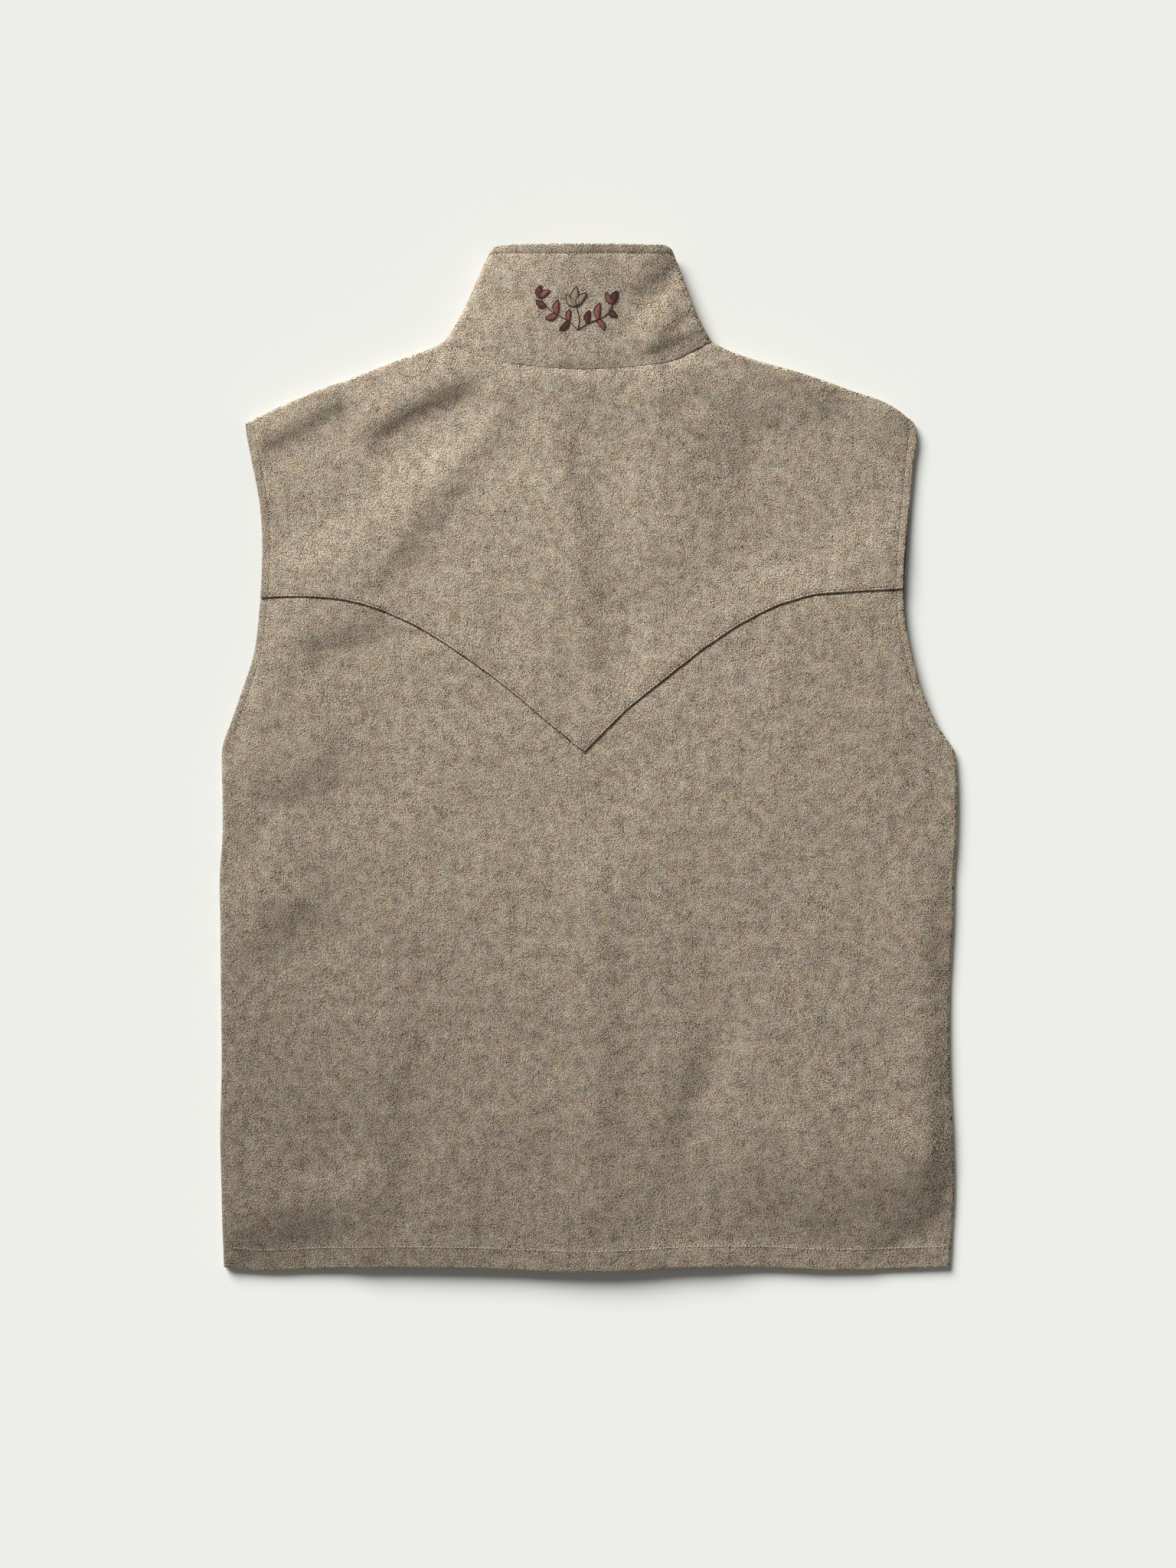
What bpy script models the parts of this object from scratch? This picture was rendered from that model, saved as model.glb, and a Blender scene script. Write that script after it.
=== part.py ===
"""A wool vest with a pointed back yoke and a standing collar, lying face down with its back up.

Metres, +Z up. +X runs to the right across the back and +Y towards the collar. The vest lies on z = 0.
Each panel is a wall of cloth. The fronts and the collar's front ends lie flat on the surface below,
and the back lies over them, with a little air between the two.
"""

import bmesh
import bpy
import numpy as np

MM = 0.001

# Cloth
WALL = 2.4 * MM            # thickness of the wool
SEAM_GAP = 0.35 * MM       # between two pieces that are sewn together
LAP_GAP = 0.45 * MM        # between a piece and the one that it lies on
LINING_WALL = 1.0 * MM

# Lengthwise places, from the photo's outline
UNDERARM_Y = 8 * MM        # where the side seam ends and the armhole begins
SEAM_FADE = 24 * MM        # the side seam's round turn opens out over this length
MIDDLE_X = -4.5 * MM       # centre front and centre back

# Space between the back and the fronts
EDGE_SPACE = 2.9 * MM      # at the sides and armholes
CHEST_SPACE = 2.2 * MM     # more in the middle, at the shoulder blades
HEM_SPACE = 4.6 * MM       # more in the middle, at the hem
NECK_SPACE = 6.4 * MM      # more under the neck seam
LEAST_SPACE = 0.6 * MM     # under the deepest fold
HEM_SPACE_Y = 92 * MM      # below here the space grows towards that at the hem
HEM_SPACE_OVER = 335 * MM  # and it has grown after this length
HALF_WIDTH = 279 * MM
FULLNESS = 2.2             # how soon the space grows from the sides inwards
NECK_REACH_X = 78 * MM
NECK_REACH_Y = 62 * MM

# Turned edges
ROLL = 3.8 * MM            # how far in a seam's round turn reaches
UPRIGHT = 0.22             # share of the turn's height that stands straight up
NECK_ROLL = 5.3 * MM       # the same at the sides of the neck
ROLL_ANGLES = np.radians([0, 30, 60, 90])
HEM_DEPTH = 16 * MM        # the hem is turned up and stitched this far above its fold
HEM_RISE = 0.9 * MM        # extra height of the doubled hem
HEM_STEP = 2 * MM          # the turned-up edge slopes over this length

# Back yoke
YOKE_LAP = 12 * MM         # the lower back runs this far up under the yoke
YOKE_EASE = 42 * MM        # the yoke comes down to the back's own height over this length

# Collar
COLLAR_TOP_Y = 390.0 * MM
COLLAR_CORNER = 6 * MM     # how far the rounded corners fall below the top edge
COLLAR_ROLL = 8 * MM       # side turn at the top edge
COLLAR_SIDE_RISE = 15 * MM  # height of the folded side at the top edge
COLLAR_RISE = 25 * MM      # height of the middle of the top edge
COLLAR_WAIST = 2.2 * MM    # the sides draw in by this much above the neck seam
WAIST_SHARE = 6.75         # brings the waist's curve, v (1 - v) squared, to 1 at its deepest
COLLAR_FULLNESS = 0.8      # under 1, the top edge rises sooner from its folded sides
COLLAR_LEFT_X = -75 * MM
COLLAR_RIGHT_X = 64.5 * MM
COLLAR_FRONT_DIP = 61 * MM  # the top edge falls this far towards the centre front
COLLAR_DIP_ROUND = 1.6     # how round that dip is

# Fronts
NECK_DROP = 82 * MM        # front neckline below the side of the neck
NECKLINE_ROUND = 2.5       # how round it is in the middle
NECKLINE_STEEP = 0.6       # and how steep at the sides, more so the less this is
LAP_WIDTH = 25 * MM        # the left front lies this far under the right one here, outside it when worn
LAP_SLOPE = 12 * MM        # the upper edge comes down to the surface over this length
FRONT_INSET = 5 * MM       # the front armholes are cut this much deeper, so the back hides them
INSET_FADE = 72 * MM       # the deeper cut runs out below the shoulder over this length

# Lining edge at the right armhole
LINING_LOW_Y = 104 * MM
LINING_HIGH_Y = 194 * MM
LINING_WIDTH = 12 * MM
LINING_SHOWS = 0.8 * MM    # it peeps out by this much

# Steps of the grids that the pieces are made on
LEFT_SHOULDER_STEPS = 8
LEFT_NECK_STEPS = 6
RIGHT_NECK_STEPS = 5
RIGHT_SHOULDER_STEPS = 7
UNDERARM_SHARES = (0.3, 0.6, 1.0)  # rows over the length in which the side seam opens out
BACK_ROWS = 15
BACK_ARMHOLE_ROWS = 4
YOKE_ROWS = 11
FRONT_ROWS = 8
FRONT_ARMHOLE_ROWS = 7
FRONT_SHOULDER_STEPS = 5
FRONT_NECK_STEPS = 7
SHOULDER_SAMPLES = 24      # points along the shoulder, by which its length is measured
COLLAR_ROWS = 8
LINING_ROWS = 11
LINING_STEPS = 4
NEAR = MM / 100            # two places closer than this are the same


def table(columns, *rows):
    """Rows of millimetres as named columns of metres."""
    return dict(zip(columns.split(), MM * np.array(rows, float).T))


OUTLINE = table(
    "y left right",
    (-387.0, -277.4, 275.0),
    (-354.4, -278.5, 277.2),
    (-331.2, -279.1, 278.4),
    (-284.6, -280.2, 277.3),
    (-238.0, -279.2, 275.2),
    (-179.8, -279.7, 275.0),
    (-121.6, -280.2, 277.8),
    (-86.7, -280.6, 278.6),
    (-63.4, -278.8, 280.1),
    (-28.5, -278.5, 280.8),
    (-5.2, -279.1, 279.9),
    (6.4, -278.9, 278.2),
    (18.0, -276.2, 270.6),
    (29.7, -271.5, 263.4),
    (53.0, -263.3, 253.5),
    (76.2, -255.6, 246.7),
    (111.2, -250.6, 240.3),
    (134.4, -248.8, 239.5),
    (157.7, -248.2, 240.7),
    (181.0, -248.8, 243.0),
    (204.3, -251.7, 245.3),
    (227.6, -256.4, 247.7),
    (249.0, -260.4, 249.6),
    (255.5, -261.0, 248.2),
)

HEM_LINE = table(
    "x y",
    (-277.4, -387.0),
    (-249.4, -389.6),
    (-212.1, -388.2),
    (-74.8, -387.9),
    (-35.2, -389.6),
    (29.9, -389.6),
    (59.1, -387.6),
    (123.1, -386.8),
    (188.3, -389.3),
    (234.8, -388.3),
    (275.0, -387.0),
)

YOKE_LEFT = table(
    "x y",
    (-249.8, 122.2),
    (-229.0, 123.4),
    (-202.8, 122.8),
    (-167.9, 116.4),
    (-133.0, 101.9),
    (-98.1, 80.3),
    (-63.1, 54.7),
    (-28.2, 25.6),
    (-3.2, 5.2),
)

YOKE_RIGHT = table(
    "x y",
    (-3.2, 5.2),
    (25.9, 34.3),
    (60.8, 62.9),
    (95.7, 89.6),
    (130.7, 110.6),
    (165.6, 123.4),
    (200.5, 126.9),
    (239.6, 129.6),
)

SHOULDER_LEFT = table(
    "x y",
    (-261.0, 255.5),
    (-240.1, 265.4),
    (-212.1, 277.6),
    (-174.9, 291.6),
    (-137.6, 305.6),
    (-119.0, 312.4),
    (-109.7, 317.2),
)

SHOULDER_RIGHT = table(
    "x y",
    (94.0, 317.2),
    (104.5, 311.4),
    (123.1, 304.4),
    (160.3, 293.9),
    (197.6, 281.1),
    (234.8, 265.9),
    (248.2, 255.5),
)

NECK_SEAM = table(
    "x y",
    (-109.7, 317.2),
    (-92.0, 309.2),
    (-76.0, 303.2),
    (-42.2, 298.0),
    (-7.0, 295.4),
    (31.7, 297.4),
    (70.7, 304.4),
    (84.0, 311.6),
    (94.0, 317.2),
)

# A row for each large fold of the back: the line of its crest or bottom, its width and its height.
FOLDS = table(
    "x1 y1 x2 y2 width height",
    (-83.5, 291.6, -162.1, 245.0, 14, -1.6),
    (-191.2, 260.7, -243.6, 237.5, 12, -1.0),
    (-91.1, 260.7, -233.1, 150.2, 22, 2.2),
    (-64.9, 266.0, -162.1, 139.7, 12, -1.6),
    (-1.5, 255.5, 19.5, 55.3, 15, -1.0),
    (35.8, 287.5, 135.9, 229.3, 14, -1.6),
    (148.0, 268.0, 176.0, 252.0, 26, -1.2),
    (-233.7, 117.0, -233.7, 44.2, 10, 1.1),
    (-217.4, 97.8, -170.2, 76.2, 14, -1.2),
    (-222.6, 2.0, -214.0, -18.0, 14, -1.0),
    (14.3, -112.9, 14.3, -350.4, 16, -1.4),
    (82.9, -192.1, 41.0, -350.4, 13, -1.0),
    (130.7, -245.0, 98.6, -366.0, 13, -1.0),
    (-64.9, -245.0, -64.9, -350.0, 13, -0.9),
    (-153.9, -165.9, -138.2, -339.9, 15, -1.3),
    (135.9, -208.4, 75.0, -334.7, 15, 1.2),
    (-114.4, -200.0, -114.4, -345.0, 14, 1.1),
)

# The collar's folds, in the same columns.
COLLAR_FOLDS = table(
    "x1 y1 x2 y2 width height",
    (86.0, 319.0, 41.0, 303.0, 9, -2.2),
    (84.0, 330.0, 44.0, 316.0, 9, 1.6),
    (62.0, 374.2, 41.0, 345.1, 10, -1.8),
    (-52.0, 310.0, -40.0, 372.0, 14, 1.0),
)


def glide(at, knots, values):
    """A smooth curve through a table's two columns, read at the places given."""
    slopes = np.gradient(values, knots)
    i = np.clip(np.searchsorted(knots, at) - 1, 0, len(knots) - 2)
    step = knots[i + 1] - knots[i]
    t = np.clip((at - knots[i]) / step, 0, 1)
    rise = t * t * (3 - 2 * t)
    return (
        (1 - rise) * values[i]
        + rise * values[i + 1]
        + t * (1 - t) ** 2 * step * slopes[i]
        - t * t * (1 - t) * step * slopes[i + 1]
    )


def ease(value):
    """From 0 to 1 with a soft start and end."""
    t = np.clip(value, 0, 1)
    return t * t * (3 - 2 * t)


def mix(a, b, share):
    return a + (b - a) * share


def left_edge(y):
    return glide(y, OUTLINE["y"], OUTLINE["left"])


def right_edge(y):
    return glide(y, OUTLINE["y"], OUTLINE["right"])


def hem_line(x):
    return glide(x, HEM_LINE["x"], HEM_LINE["y"])


def yoke_line(x):
    """The yoke's lower edge: two curved arms that meet in a point."""
    left = glide(x, YOKE_LEFT["x"], YOKE_LEFT["y"])
    right = glide(x, YOKE_RIGHT["x"], YOKE_RIGHT["y"])
    return np.where(x < YOKE_RIGHT["x"][0], left, right)


def neck_seam(x):
    return glide(x, NECK_SEAM["x"], NECK_SEAM["y"])


def top_line(x):
    """The yoke's upper edge: left shoulder, neck seam, right shoulder."""
    left = glide(x, SHOULDER_LEFT["x"], SHOULDER_LEFT["y"])
    right = glide(x, SHOULDER_RIGHT["x"], SHOULDER_RIGHT["y"])
    return np.where(x < NECK_LEFT_X, left, np.where(x > NECK_RIGHT_X, right, neck_seam(x)))


NECK_LEFT_X, NECK_RIGHT_X = NECK_SEAM["x"][[0, -1]]
NECK_SIDE_Y = NECK_SEAM["y"][0]
TIP_LEFT = np.array([SHOULDER_LEFT["x"][0], SHOULDER_LEFT["y"][0]])
TIP_RIGHT = np.array([SHOULDER_RIGHT["x"][-1], SHOULDER_RIGHT["y"][-1]])
YOKE_POINT_X = YOKE_RIGHT["x"][0]
YOKE_LEFT_Y = YOKE_LEFT["y"][0]
YOKE_RIGHT_Y = YOKE_RIGHT["y"][-1]
HEM_SIDE_Y = OUTLINE["y"][0]


def fold_height(x, y, folds):
    """The sum of the folds: each one a soft ridge or trough round its own line."""
    total = np.zeros(np.broadcast(x, y).shape)
    for x1, y1, x2, y2, width, height in zip(*folds.values()):
        along_x = x2 - x1
        along_y = y2 - y1
        t = ((x - x1) * along_x + (y - y1) * along_y) / (along_x**2 + along_y**2)
        t = np.clip(t, 0, 1)
        away = np.hypot(x - x1 - t * along_x, y - y1 - t * along_y)
        total = total + height * np.exp(-((away / width) ** 2))
    return total


def back_height(x, y):
    """Height of the back's outer face, before its edges turn down at the seams."""
    across = 1 - np.clip(np.abs(x - MIDDLE_X) / HALF_WIDTH, 0, 1) ** FULLNESS
    lower = ease((HEM_SPACE_Y - y) / HEM_SPACE_OVER)
    middle = mix(CHEST_SPACE, HEM_SPACE, lower)
    neck = np.exp(-(((x - MIDDLE_X) / NECK_REACH_X) ** 2) - ((y - NECK_SIDE_Y) / NECK_REACH_Y) ** 2)
    space = EDGE_SPACE + middle * across + NECK_SPACE * neck + fold_height(x, y, FOLDS)
    hem = HEM_RISE * ease((HEM_DEPTH + HEM_STEP - (y - hem_line(x))) / HEM_STEP)
    return 2 * WALL + np.maximum(space, LEAST_SPACE) + hem


def coons(bottom, top, left, right, u, v):
    """A point inside four edge curves, where u runs across and v runs up. Each curve is a function
    from 0..1 to x and y, and neighbouring curves share their corners."""
    low = bottom(u)
    high = top(u)
    near = left(v)
    far = right(v)
    corners = [[bottom(0.0), bottom(1.0)], [top(0.0), top(1.0)]]
    flat = []
    for axis in (0, 1):
        corner = [[c[axis] for c in row] for row in corners]
        flat.append(
            mix(low[axis], high[axis], v)
            + mix(near[axis], far[axis], u)
            - mix(mix(corner[0][0], corner[0][1], u), mix(corner[1][0], corner[1][1], u), v)
        )
    return flat


# The round turn at a seam, as one row of points from the seam inwards. A point has its distance in
# where the edge turns, its distance in where the edge stays flat, and its share of the turn's height.
TURN_IN = ROLL * np.concatenate([[0], 1 - np.cos(ROLL_ANGLES)])
TURN_FLAT = ROLL * np.linspace(0, 1, len(TURN_IN))
TURN_RISE = np.concatenate([[0], UPRIGHT + (1 - UPRIGHT) * np.sin(ROLL_ANGLES)])

# The round turn at the side of the neck: distances in along the neck seam.
NECK_TURN = NECK_ROLL * (1 - np.cos(ROLL_ANGLES))


def spread(start, end, count):
    """Even steps between two places, both left out."""
    return list(np.linspace(start, end, count + 2)[1:-1])


def side_turn(y):
    """1 where the side seam joins back and front, 0 beside the armhole."""
    return 1 - ease((y - UNDERARM_Y) / SEAM_FADE)


def drop(z, edge_height, share):
    """Lowers the outer face towards its seam, which runs at half the edge's height."""
    return z - share * (edge_height - edge_height / 2 - SEAM_GAP / 2)


def make_material(name, colour, roughness):
    material = bpy.data.materials.new(name)
    material.use_nodes = True
    shader = material.node_tree.nodes["Principled BSDF"]
    shader.inputs["Base Color"].default_value = (*colour, 1)
    shader.inputs["Roughness"].default_value = roughness
    shader.inputs["Metallic"].default_value = 0
    return material


def make_wall(name, points, thickness, material, collection, outer_down=False):
    """A wall of cloth from the grid of its outer face, an array of rows, columns and x y z."""
    rows, columns = points.shape[:2]
    grid = bmesh.new()
    bmesh.ops.create_grid(grid, x_segments=columns - 1, y_segments=rows - 1, size=1)
    for vertex in grid.verts:
        column = round((vertex.co.x + 1) / 2 * (columns - 1))
        row = round((vertex.co.y + 1) / 2 * (rows - 1))
        vertex.co = points[row, column]
    if outer_down:
        bmesh.ops.reverse_faces(grid, faces=grid.faces)
    mesh = bpy.data.meshes.new(name)
    grid.to_mesh(mesh)
    grid.free()
    mesh.materials.append(material)
    mesh.shade_smooth()
    panel = bpy.data.objects.new(name, mesh)
    collection.objects.link(panel)
    wall = panel.modifiers.new("wall", "SOLIDIFY")
    wall.thickness = thickness
    wall.offset = -1
    return panel


def places_in_turn(count):
    """Each grid line's place in the turn at the low end, and at the high end."""
    last = len(TURN_RISE) - 1
    low = np.minimum(np.arange(count), last)
    return low, low[::-1]


def back_columns():
    """Where the back's columns cross it, as shares of its width. Both back pieces use them, so that the
    yoke's points lie straight above those of the piece that it laps, and the collar's follow the neck's."""
    turn = list(TURN_FLAT / (2 * HALF_WIDTH))
    span = TIP_RIGHT[0] - TIP_LEFT[0]
    neck_in = NECK_TURN / span
    neck_left = (NECK_LEFT_X - TIP_LEFT[0]) / span
    neck_right = (NECK_RIGHT_X - TIP_LEFT[0]) / span
    low, high = left_edge(YOKE_LEFT_Y), right_edge(YOKE_RIGHT_Y)
    point = (YOKE_POINT_X - low) / (high - low)
    return np.array(
        turn
        + spread(turn[-1], neck_left, LEFT_SHOULDER_STEPS)
        + list(neck_left + neck_in)
        + spread(neck_left + neck_in[-1], point, LEFT_NECK_STEPS)
        + [point]
        + spread(point, neck_right - neck_in[-1], RIGHT_NECK_STEPS)
        + list(neck_right - neck_in[::-1])
        + spread(neck_right, 1 - turn[-1], RIGHT_SHOULDER_STEPS)
        + list(1 - np.array(turn[::-1]))
    )


def neck_columns_x():
    """Where the back's columns meet the neck seam, from one side of the neck to the other."""
    x = mix(TIP_LEFT[0], TIP_RIGHT[0], back_columns())
    inside = (x > NECK_LEFT_X - NEAR) & (x < NECK_RIGHT_X + NEAR)
    return x[inside]


def yoke_row(u, above):
    """A row of points that follows the yoke's lower edge, a given distance above it."""
    left_y = YOKE_LEFT_Y + above
    right_y = YOKE_RIGHT_Y + above
    edge_x = mix(left_edge(YOKE_LEFT_Y), right_edge(YOKE_RIGHT_Y), u)
    x = mix(left_edge(left_y), right_edge(right_y), u)
    return x, yoke_line(edge_x) + above


def back_body_points():
    """Grid of the lower back's outer face, from the hem to its edge under the yoke."""
    columns = back_columns()
    hem_rows = [0, HEM_DEPTH - NEAR, HEM_DEPTH + HEM_STEP]
    side_rows = [HEM_SIDE_Y + d for d in hem_rows]
    side_rows += spread(side_rows[-1], UNDERARM_Y, BACK_ROWS) + [UNDERARM_Y]
    side_rows += [UNDERARM_Y + share * SEAM_FADE for share in UNDERARM_SHARES]
    side_rows += spread(side_rows[-1], YOKE_LEFT_Y, BACK_ARMHOLE_ROWS) + [YOKE_LEFT_Y]
    shares = (np.array(side_rows) - HEM_SIDE_Y) / (YOKE_LEFT_Y - HEM_SIDE_Y)

    def bottom(u):
        x = mix(OUTLINE["left"][0], OUTLINE["right"][0], u)
        return x, hem_line(x)

    def top(u):
        return yoke_row(u, 0)

    def left(v):
        y = mix(HEM_SIDE_Y, YOKE_LEFT_Y, v)
        return left_edge(y), y

    def right(v):
        y = mix(HEM_SIDE_Y, YOKE_RIGHT_Y, v)
        return right_edge(y), y

    low, high = places_in_turn(len(columns))
    grid = []
    for share in shares:
        turn = side_turn(mix(HEM_SIDE_Y, YOKE_LEFT_Y, share))
        inwards = (TURN_IN - TURN_FLAT) / (2 * HALF_WIDTH) * turn
        u = columns + inwards[low] - inwards[high]
        x, y = coons(bottom, top, left, right, u, share)
        edge_left = back_height(*coons(bottom, top, left, right, 0.0, share))
        edge_right = back_height(*coons(bottom, top, left, right, 1.0, share))
        z = back_height(x, y)
        z = drop(z, edge_left, turn * (1 - TURN_RISE[low]))
        z = drop(z, edge_right, turn * (1 - TURN_RISE[high]))
        grid.append(np.stack([x, y, z], axis=-1))
    for above in (YOKE_LAP / 2, YOKE_LAP):
        x, y = yoke_row(columns, above)
        grid.append(np.stack([x, y, back_height(x, y)], axis=-1))
    return np.array(grid)


def neck_turn(columns_x):
    """How far each top point is turned down: 1 on the shoulders, 0 along the neck, round between."""
    inside = np.minimum(columns_x - NECK_LEFT_X, NECK_RIGHT_X - columns_x)
    reach = NECK_TURN[-1]
    sine = np.sqrt(np.clip(1 - (1 - np.clip(inside / reach, 0, 1)) ** 2, 0, 1))
    return 1 - sine


def yoke_lift(x, y):
    """The yoke lies on the lower back along its edge and comes down to the back's height above it."""
    above = y - yoke_line(x)
    return (WALL + LAP_GAP) * (1 - ease((above - YOKE_LAP) / YOKE_EASE))


def yoke_points():
    """Grid of the yoke's outer face, from its pointed lower edge to the shoulders and the neck."""
    columns = back_columns()

    def bottom(u):
        return yoke_row(u, YOKE_LAP)

    def top(u):
        x = mix(TIP_LEFT[0], TIP_RIGHT[0], u)
        return x, top_line(x)

    def left(v):
        y = mix(YOKE_LEFT_Y + YOKE_LAP, TIP_LEFT[1], v)
        return left_edge(y), y

    def right(v):
        y = mix(YOKE_RIGHT_Y + YOKE_LAP, TIP_RIGHT[1], v)
        return right_edge(y), y

    grid = []
    for above in (0, YOKE_LAP / 2, YOKE_LAP):
        x, y = yoke_row(columns, above)
        grid.append(np.stack([x, y, back_height(x, y) + WALL + LAP_GAP], axis=-1))
    top_x, top_y = top(columns)
    start_y = bottom(columns)[1]
    length = top_y - start_y
    turn = neck_turn(top_x)
    edge = back_height(top_x, top_y)
    rows = [(share, None) for share in spread(0, 1, YOKE_ROWS)]
    rows += [(1, k) for k in range(len(TURN_RISE) - 1, -1, -1)]
    for share, k in rows:
        if k is None:
            v = share * (1 - ROLL / length)
            down = 0
        else:
            v = 1 - mix(TURN_FLAT[k], TURN_IN[k], turn) / length
            down = turn * (1 - TURN_RISE[k])
        x, y = coons(bottom, top, left, right, columns, v)
        z = drop(back_height(x, y) + yoke_lift(x, y), edge, down)
        grid.append(np.stack([x, y, z], axis=-1))
    return np.array(grid)


def front_edge_x(side):
    """The front edge of the left front, side -1, or of the right one, side 1. They lap at the middle."""
    return MIDDLE_X - side * LAP_WIDTH / 2


def neck_side_x(side):
    return NECK_LEFT_X if side < 0 else NECK_RIGHT_X


def front_neck(side):
    """Points along the front neckline: those of the round turn at the side of the neck, then even steps
    to the front edge."""
    base = neck_side_x(side)
    end = front_edge_x(side)
    x = base - side * NECK_TURN
    x = np.concatenate([x, spread(x[-1], end, FRONT_NECK_STEPS), [end]])
    out = np.clip(np.abs((x - MIDDLE_X) / (base - MIDDLE_X)), 0, 1)
    return x, NECK_SIDE_Y - NECK_DROP * (1 - out**NECKLINE_ROUND) ** NECKLINE_STEEP


def neck_front_turn(count):
    """How far each point of the front neckline is turned up: 1 at the side of the neck, then 0."""
    turn = np.zeros(count)
    turn[: len(ROLL_ANGLES)] = 1 - np.sin(ROLL_ANGLES)
    return turn


def lap_height(x, side):
    """Height of the underside: the right front rises over the left one's edge, as it lies face down."""
    clear = MIDDLE_X + LAP_WIDTH / 2 + MM
    return (side > 0) * (WALL + LAP_GAP) * (1 - ease((x - clear) / LAP_SLOPE))


def front_points(side):
    """Grid of one front's outer face, which is its underside here. side is -1 left, 1 right."""
    tip = TIP_LEFT if side < 0 else TIP_RIGHT
    edge = left_edge if side < 0 else right_edge
    hem_x = OUTLINE["left" if side < 0 else "right"][0]
    end = front_edge_x(side)
    width = abs(end - tip[0])
    neck_x, neck_y = front_neck(side)
    shoulder_x = np.linspace(tip[0], neck_x[0], SHOULDER_SAMPLES)[:-1]
    along_x = np.concatenate([shoulder_x, neck_x])
    along_y = np.concatenate([top_line(shoulder_x), neck_y])
    along = np.concatenate([[0], np.cumsum(np.hypot(np.diff(along_x), np.diff(along_y)))])
    along /= along[-1]

    def top(u):
        return np.interp(u, along, along_x), np.interp(u, along, along_y)

    turn_in, turn_flat = TURN_IN / width, TURN_FLAT / width
    neck = along[len(shoulder_x) :]
    shoulder = list(turn_flat) + spread(turn_flat[-1], neck[0], FRONT_SHOULDER_STEPS)
    columns = np.array(shoulder + list(neck))
    top_x, top_y = top(columns)
    top_turn = np.concatenate([np.ones(len(shoulder)), neck_front_turn(len(neck_x))])
    top_seam = back_height(top_x, top_y)
    top_seam[len(shoulder) :] = back_height(neck_x[0], NECK_SIDE_Y)

    def bottom(u):
        x = mix(hem_x, end, u)
        return x, hem_line(x)

    def outer(v):
        y = mix(HEM_SIDE_Y, tip[1], v)
        deeper = ease((y - UNDERARM_Y) / SEAM_FADE) * ease((tip[1] - y) / INSET_FADE)
        return edge(y) - side * FRONT_INSET * deeper, y

    def inner(v):
        return end + 0 * v, mix(bottom(1.0)[1], neck_y[-1], v)

    length = top_y - bottom(columns)[1]
    low, _ = places_in_turn(len(columns))
    side_rows = [HEM_SIDE_Y] + spread(HEM_SIDE_Y, UNDERARM_Y, FRONT_ROWS) + [UNDERARM_Y]
    side_rows += [UNDERARM_Y + share * SEAM_FADE for share in UNDERARM_SHARES]
    side_rows += spread(side_rows[-1], tip[1] - 2 * ROLL, FRONT_ARMHOLE_ROWS)
    rows = [((y - HEM_SIDE_Y) / (tip[1] - HEM_SIDE_Y), None) for y in side_rows]
    rows += [(1, k) for k in range(len(TURN_RISE) - 1, -1, -1)]
    grid = []
    for share, k in rows:
        if k is None:
            row_y = mix(HEM_SIDE_Y, tip[1], share)
            turn = side_turn(row_y)
            u = columns + (turn_in - turn_flat)[low] * turn
            v = share + 0 * columns
            seam = (back_height(edge(row_y), row_y) - SEAM_GAP) / 2
            up = turn * (1 - TURN_RISE[low]) * seam
        else:
            u = columns
            v = 1 - mix(TURN_FLAT[k], TURN_IN[k], top_turn) / length
            up = top_turn * (1 - TURN_RISE[k]) * (top_seam - SEAM_GAP) / 2
        x, y = coons(bottom, top, outer, inner, u, v)
        grid.append(np.stack([x, y, lap_height(x, side) + up], axis=-1))
    points = np.array(grid)
    return points if side < 0 else points[:, ::-1]


def collar_half_front(side):
    """The part of a ring that runs from the side of the neck to a front end, at the neck seam and at
    the top edge."""
    x, y = front_neck(side)
    turn = neck_front_turn(len(x))
    low = np.stack([x, y, turn * back_height(x[0], NECK_SIDE_Y) / 2 + lap_height(x, side)], -1)
    base = COLLAR_LEFT_X if side < 0 else COLLAR_RIGHT_X
    end = front_edge_x(side)
    top_x = base - side * COLLAR_ROLL * (1 - np.cos(ROLL_ANGLES))
    top_x = np.concatenate([top_x, spread(top_x[-1], end, FRONT_NECK_STEPS), [end]])
    out = np.clip(np.abs((top_x - MIDDLE_X) / (base - MIDDLE_X)), 0, 1)
    top_y = COLLAR_TOP_Y - COLLAR_CORNER - COLLAR_FRONT_DIP * (1 - out**COLLAR_DIP_ROUND)
    high = np.stack([top_x, top_y, turn * COLLAR_SIDE_RISE / 2 + lap_height(top_x, side)], -1)
    return low, high


def collar_back():
    """The part of a ring that lies over the back, at the neck seam and at the top edge."""
    x = neck_columns_x()
    turn = neck_turn(x)
    y = neck_seam(x)
    height = back_height(x, y)
    low = np.stack([x, y, height - turn * height / 2], -1)
    turn_in = COLLAR_ROLL * (1 - np.cos(ROLL_ANGLES))
    reach = NECK_TURN[-1]
    share = (x - NECK_LEFT_X - reach) / (NECK_RIGHT_X - NECK_LEFT_X - 2 * reach)
    top_x = mix(COLLAR_LEFT_X + COLLAR_ROLL, COLLAR_RIGHT_X - COLLAR_ROLL, np.clip(share, 0, 1))
    top_x[: len(turn_in)] = COLLAR_LEFT_X + turn_in
    top_x[-len(turn_in) :] = COLLAR_RIGHT_X - turn_in[::-1]
    rise = np.sin(np.pi * np.clip(share, 0, 1)) ** COLLAR_FULLNESS
    crown = mix(COLLAR_SIDE_RISE, COLLAR_RISE, rise)
    high = np.stack([top_x, COLLAR_TOP_Y - COLLAR_CORNER * turn, crown - turn * crown / 2], -1)
    return low, high


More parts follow.
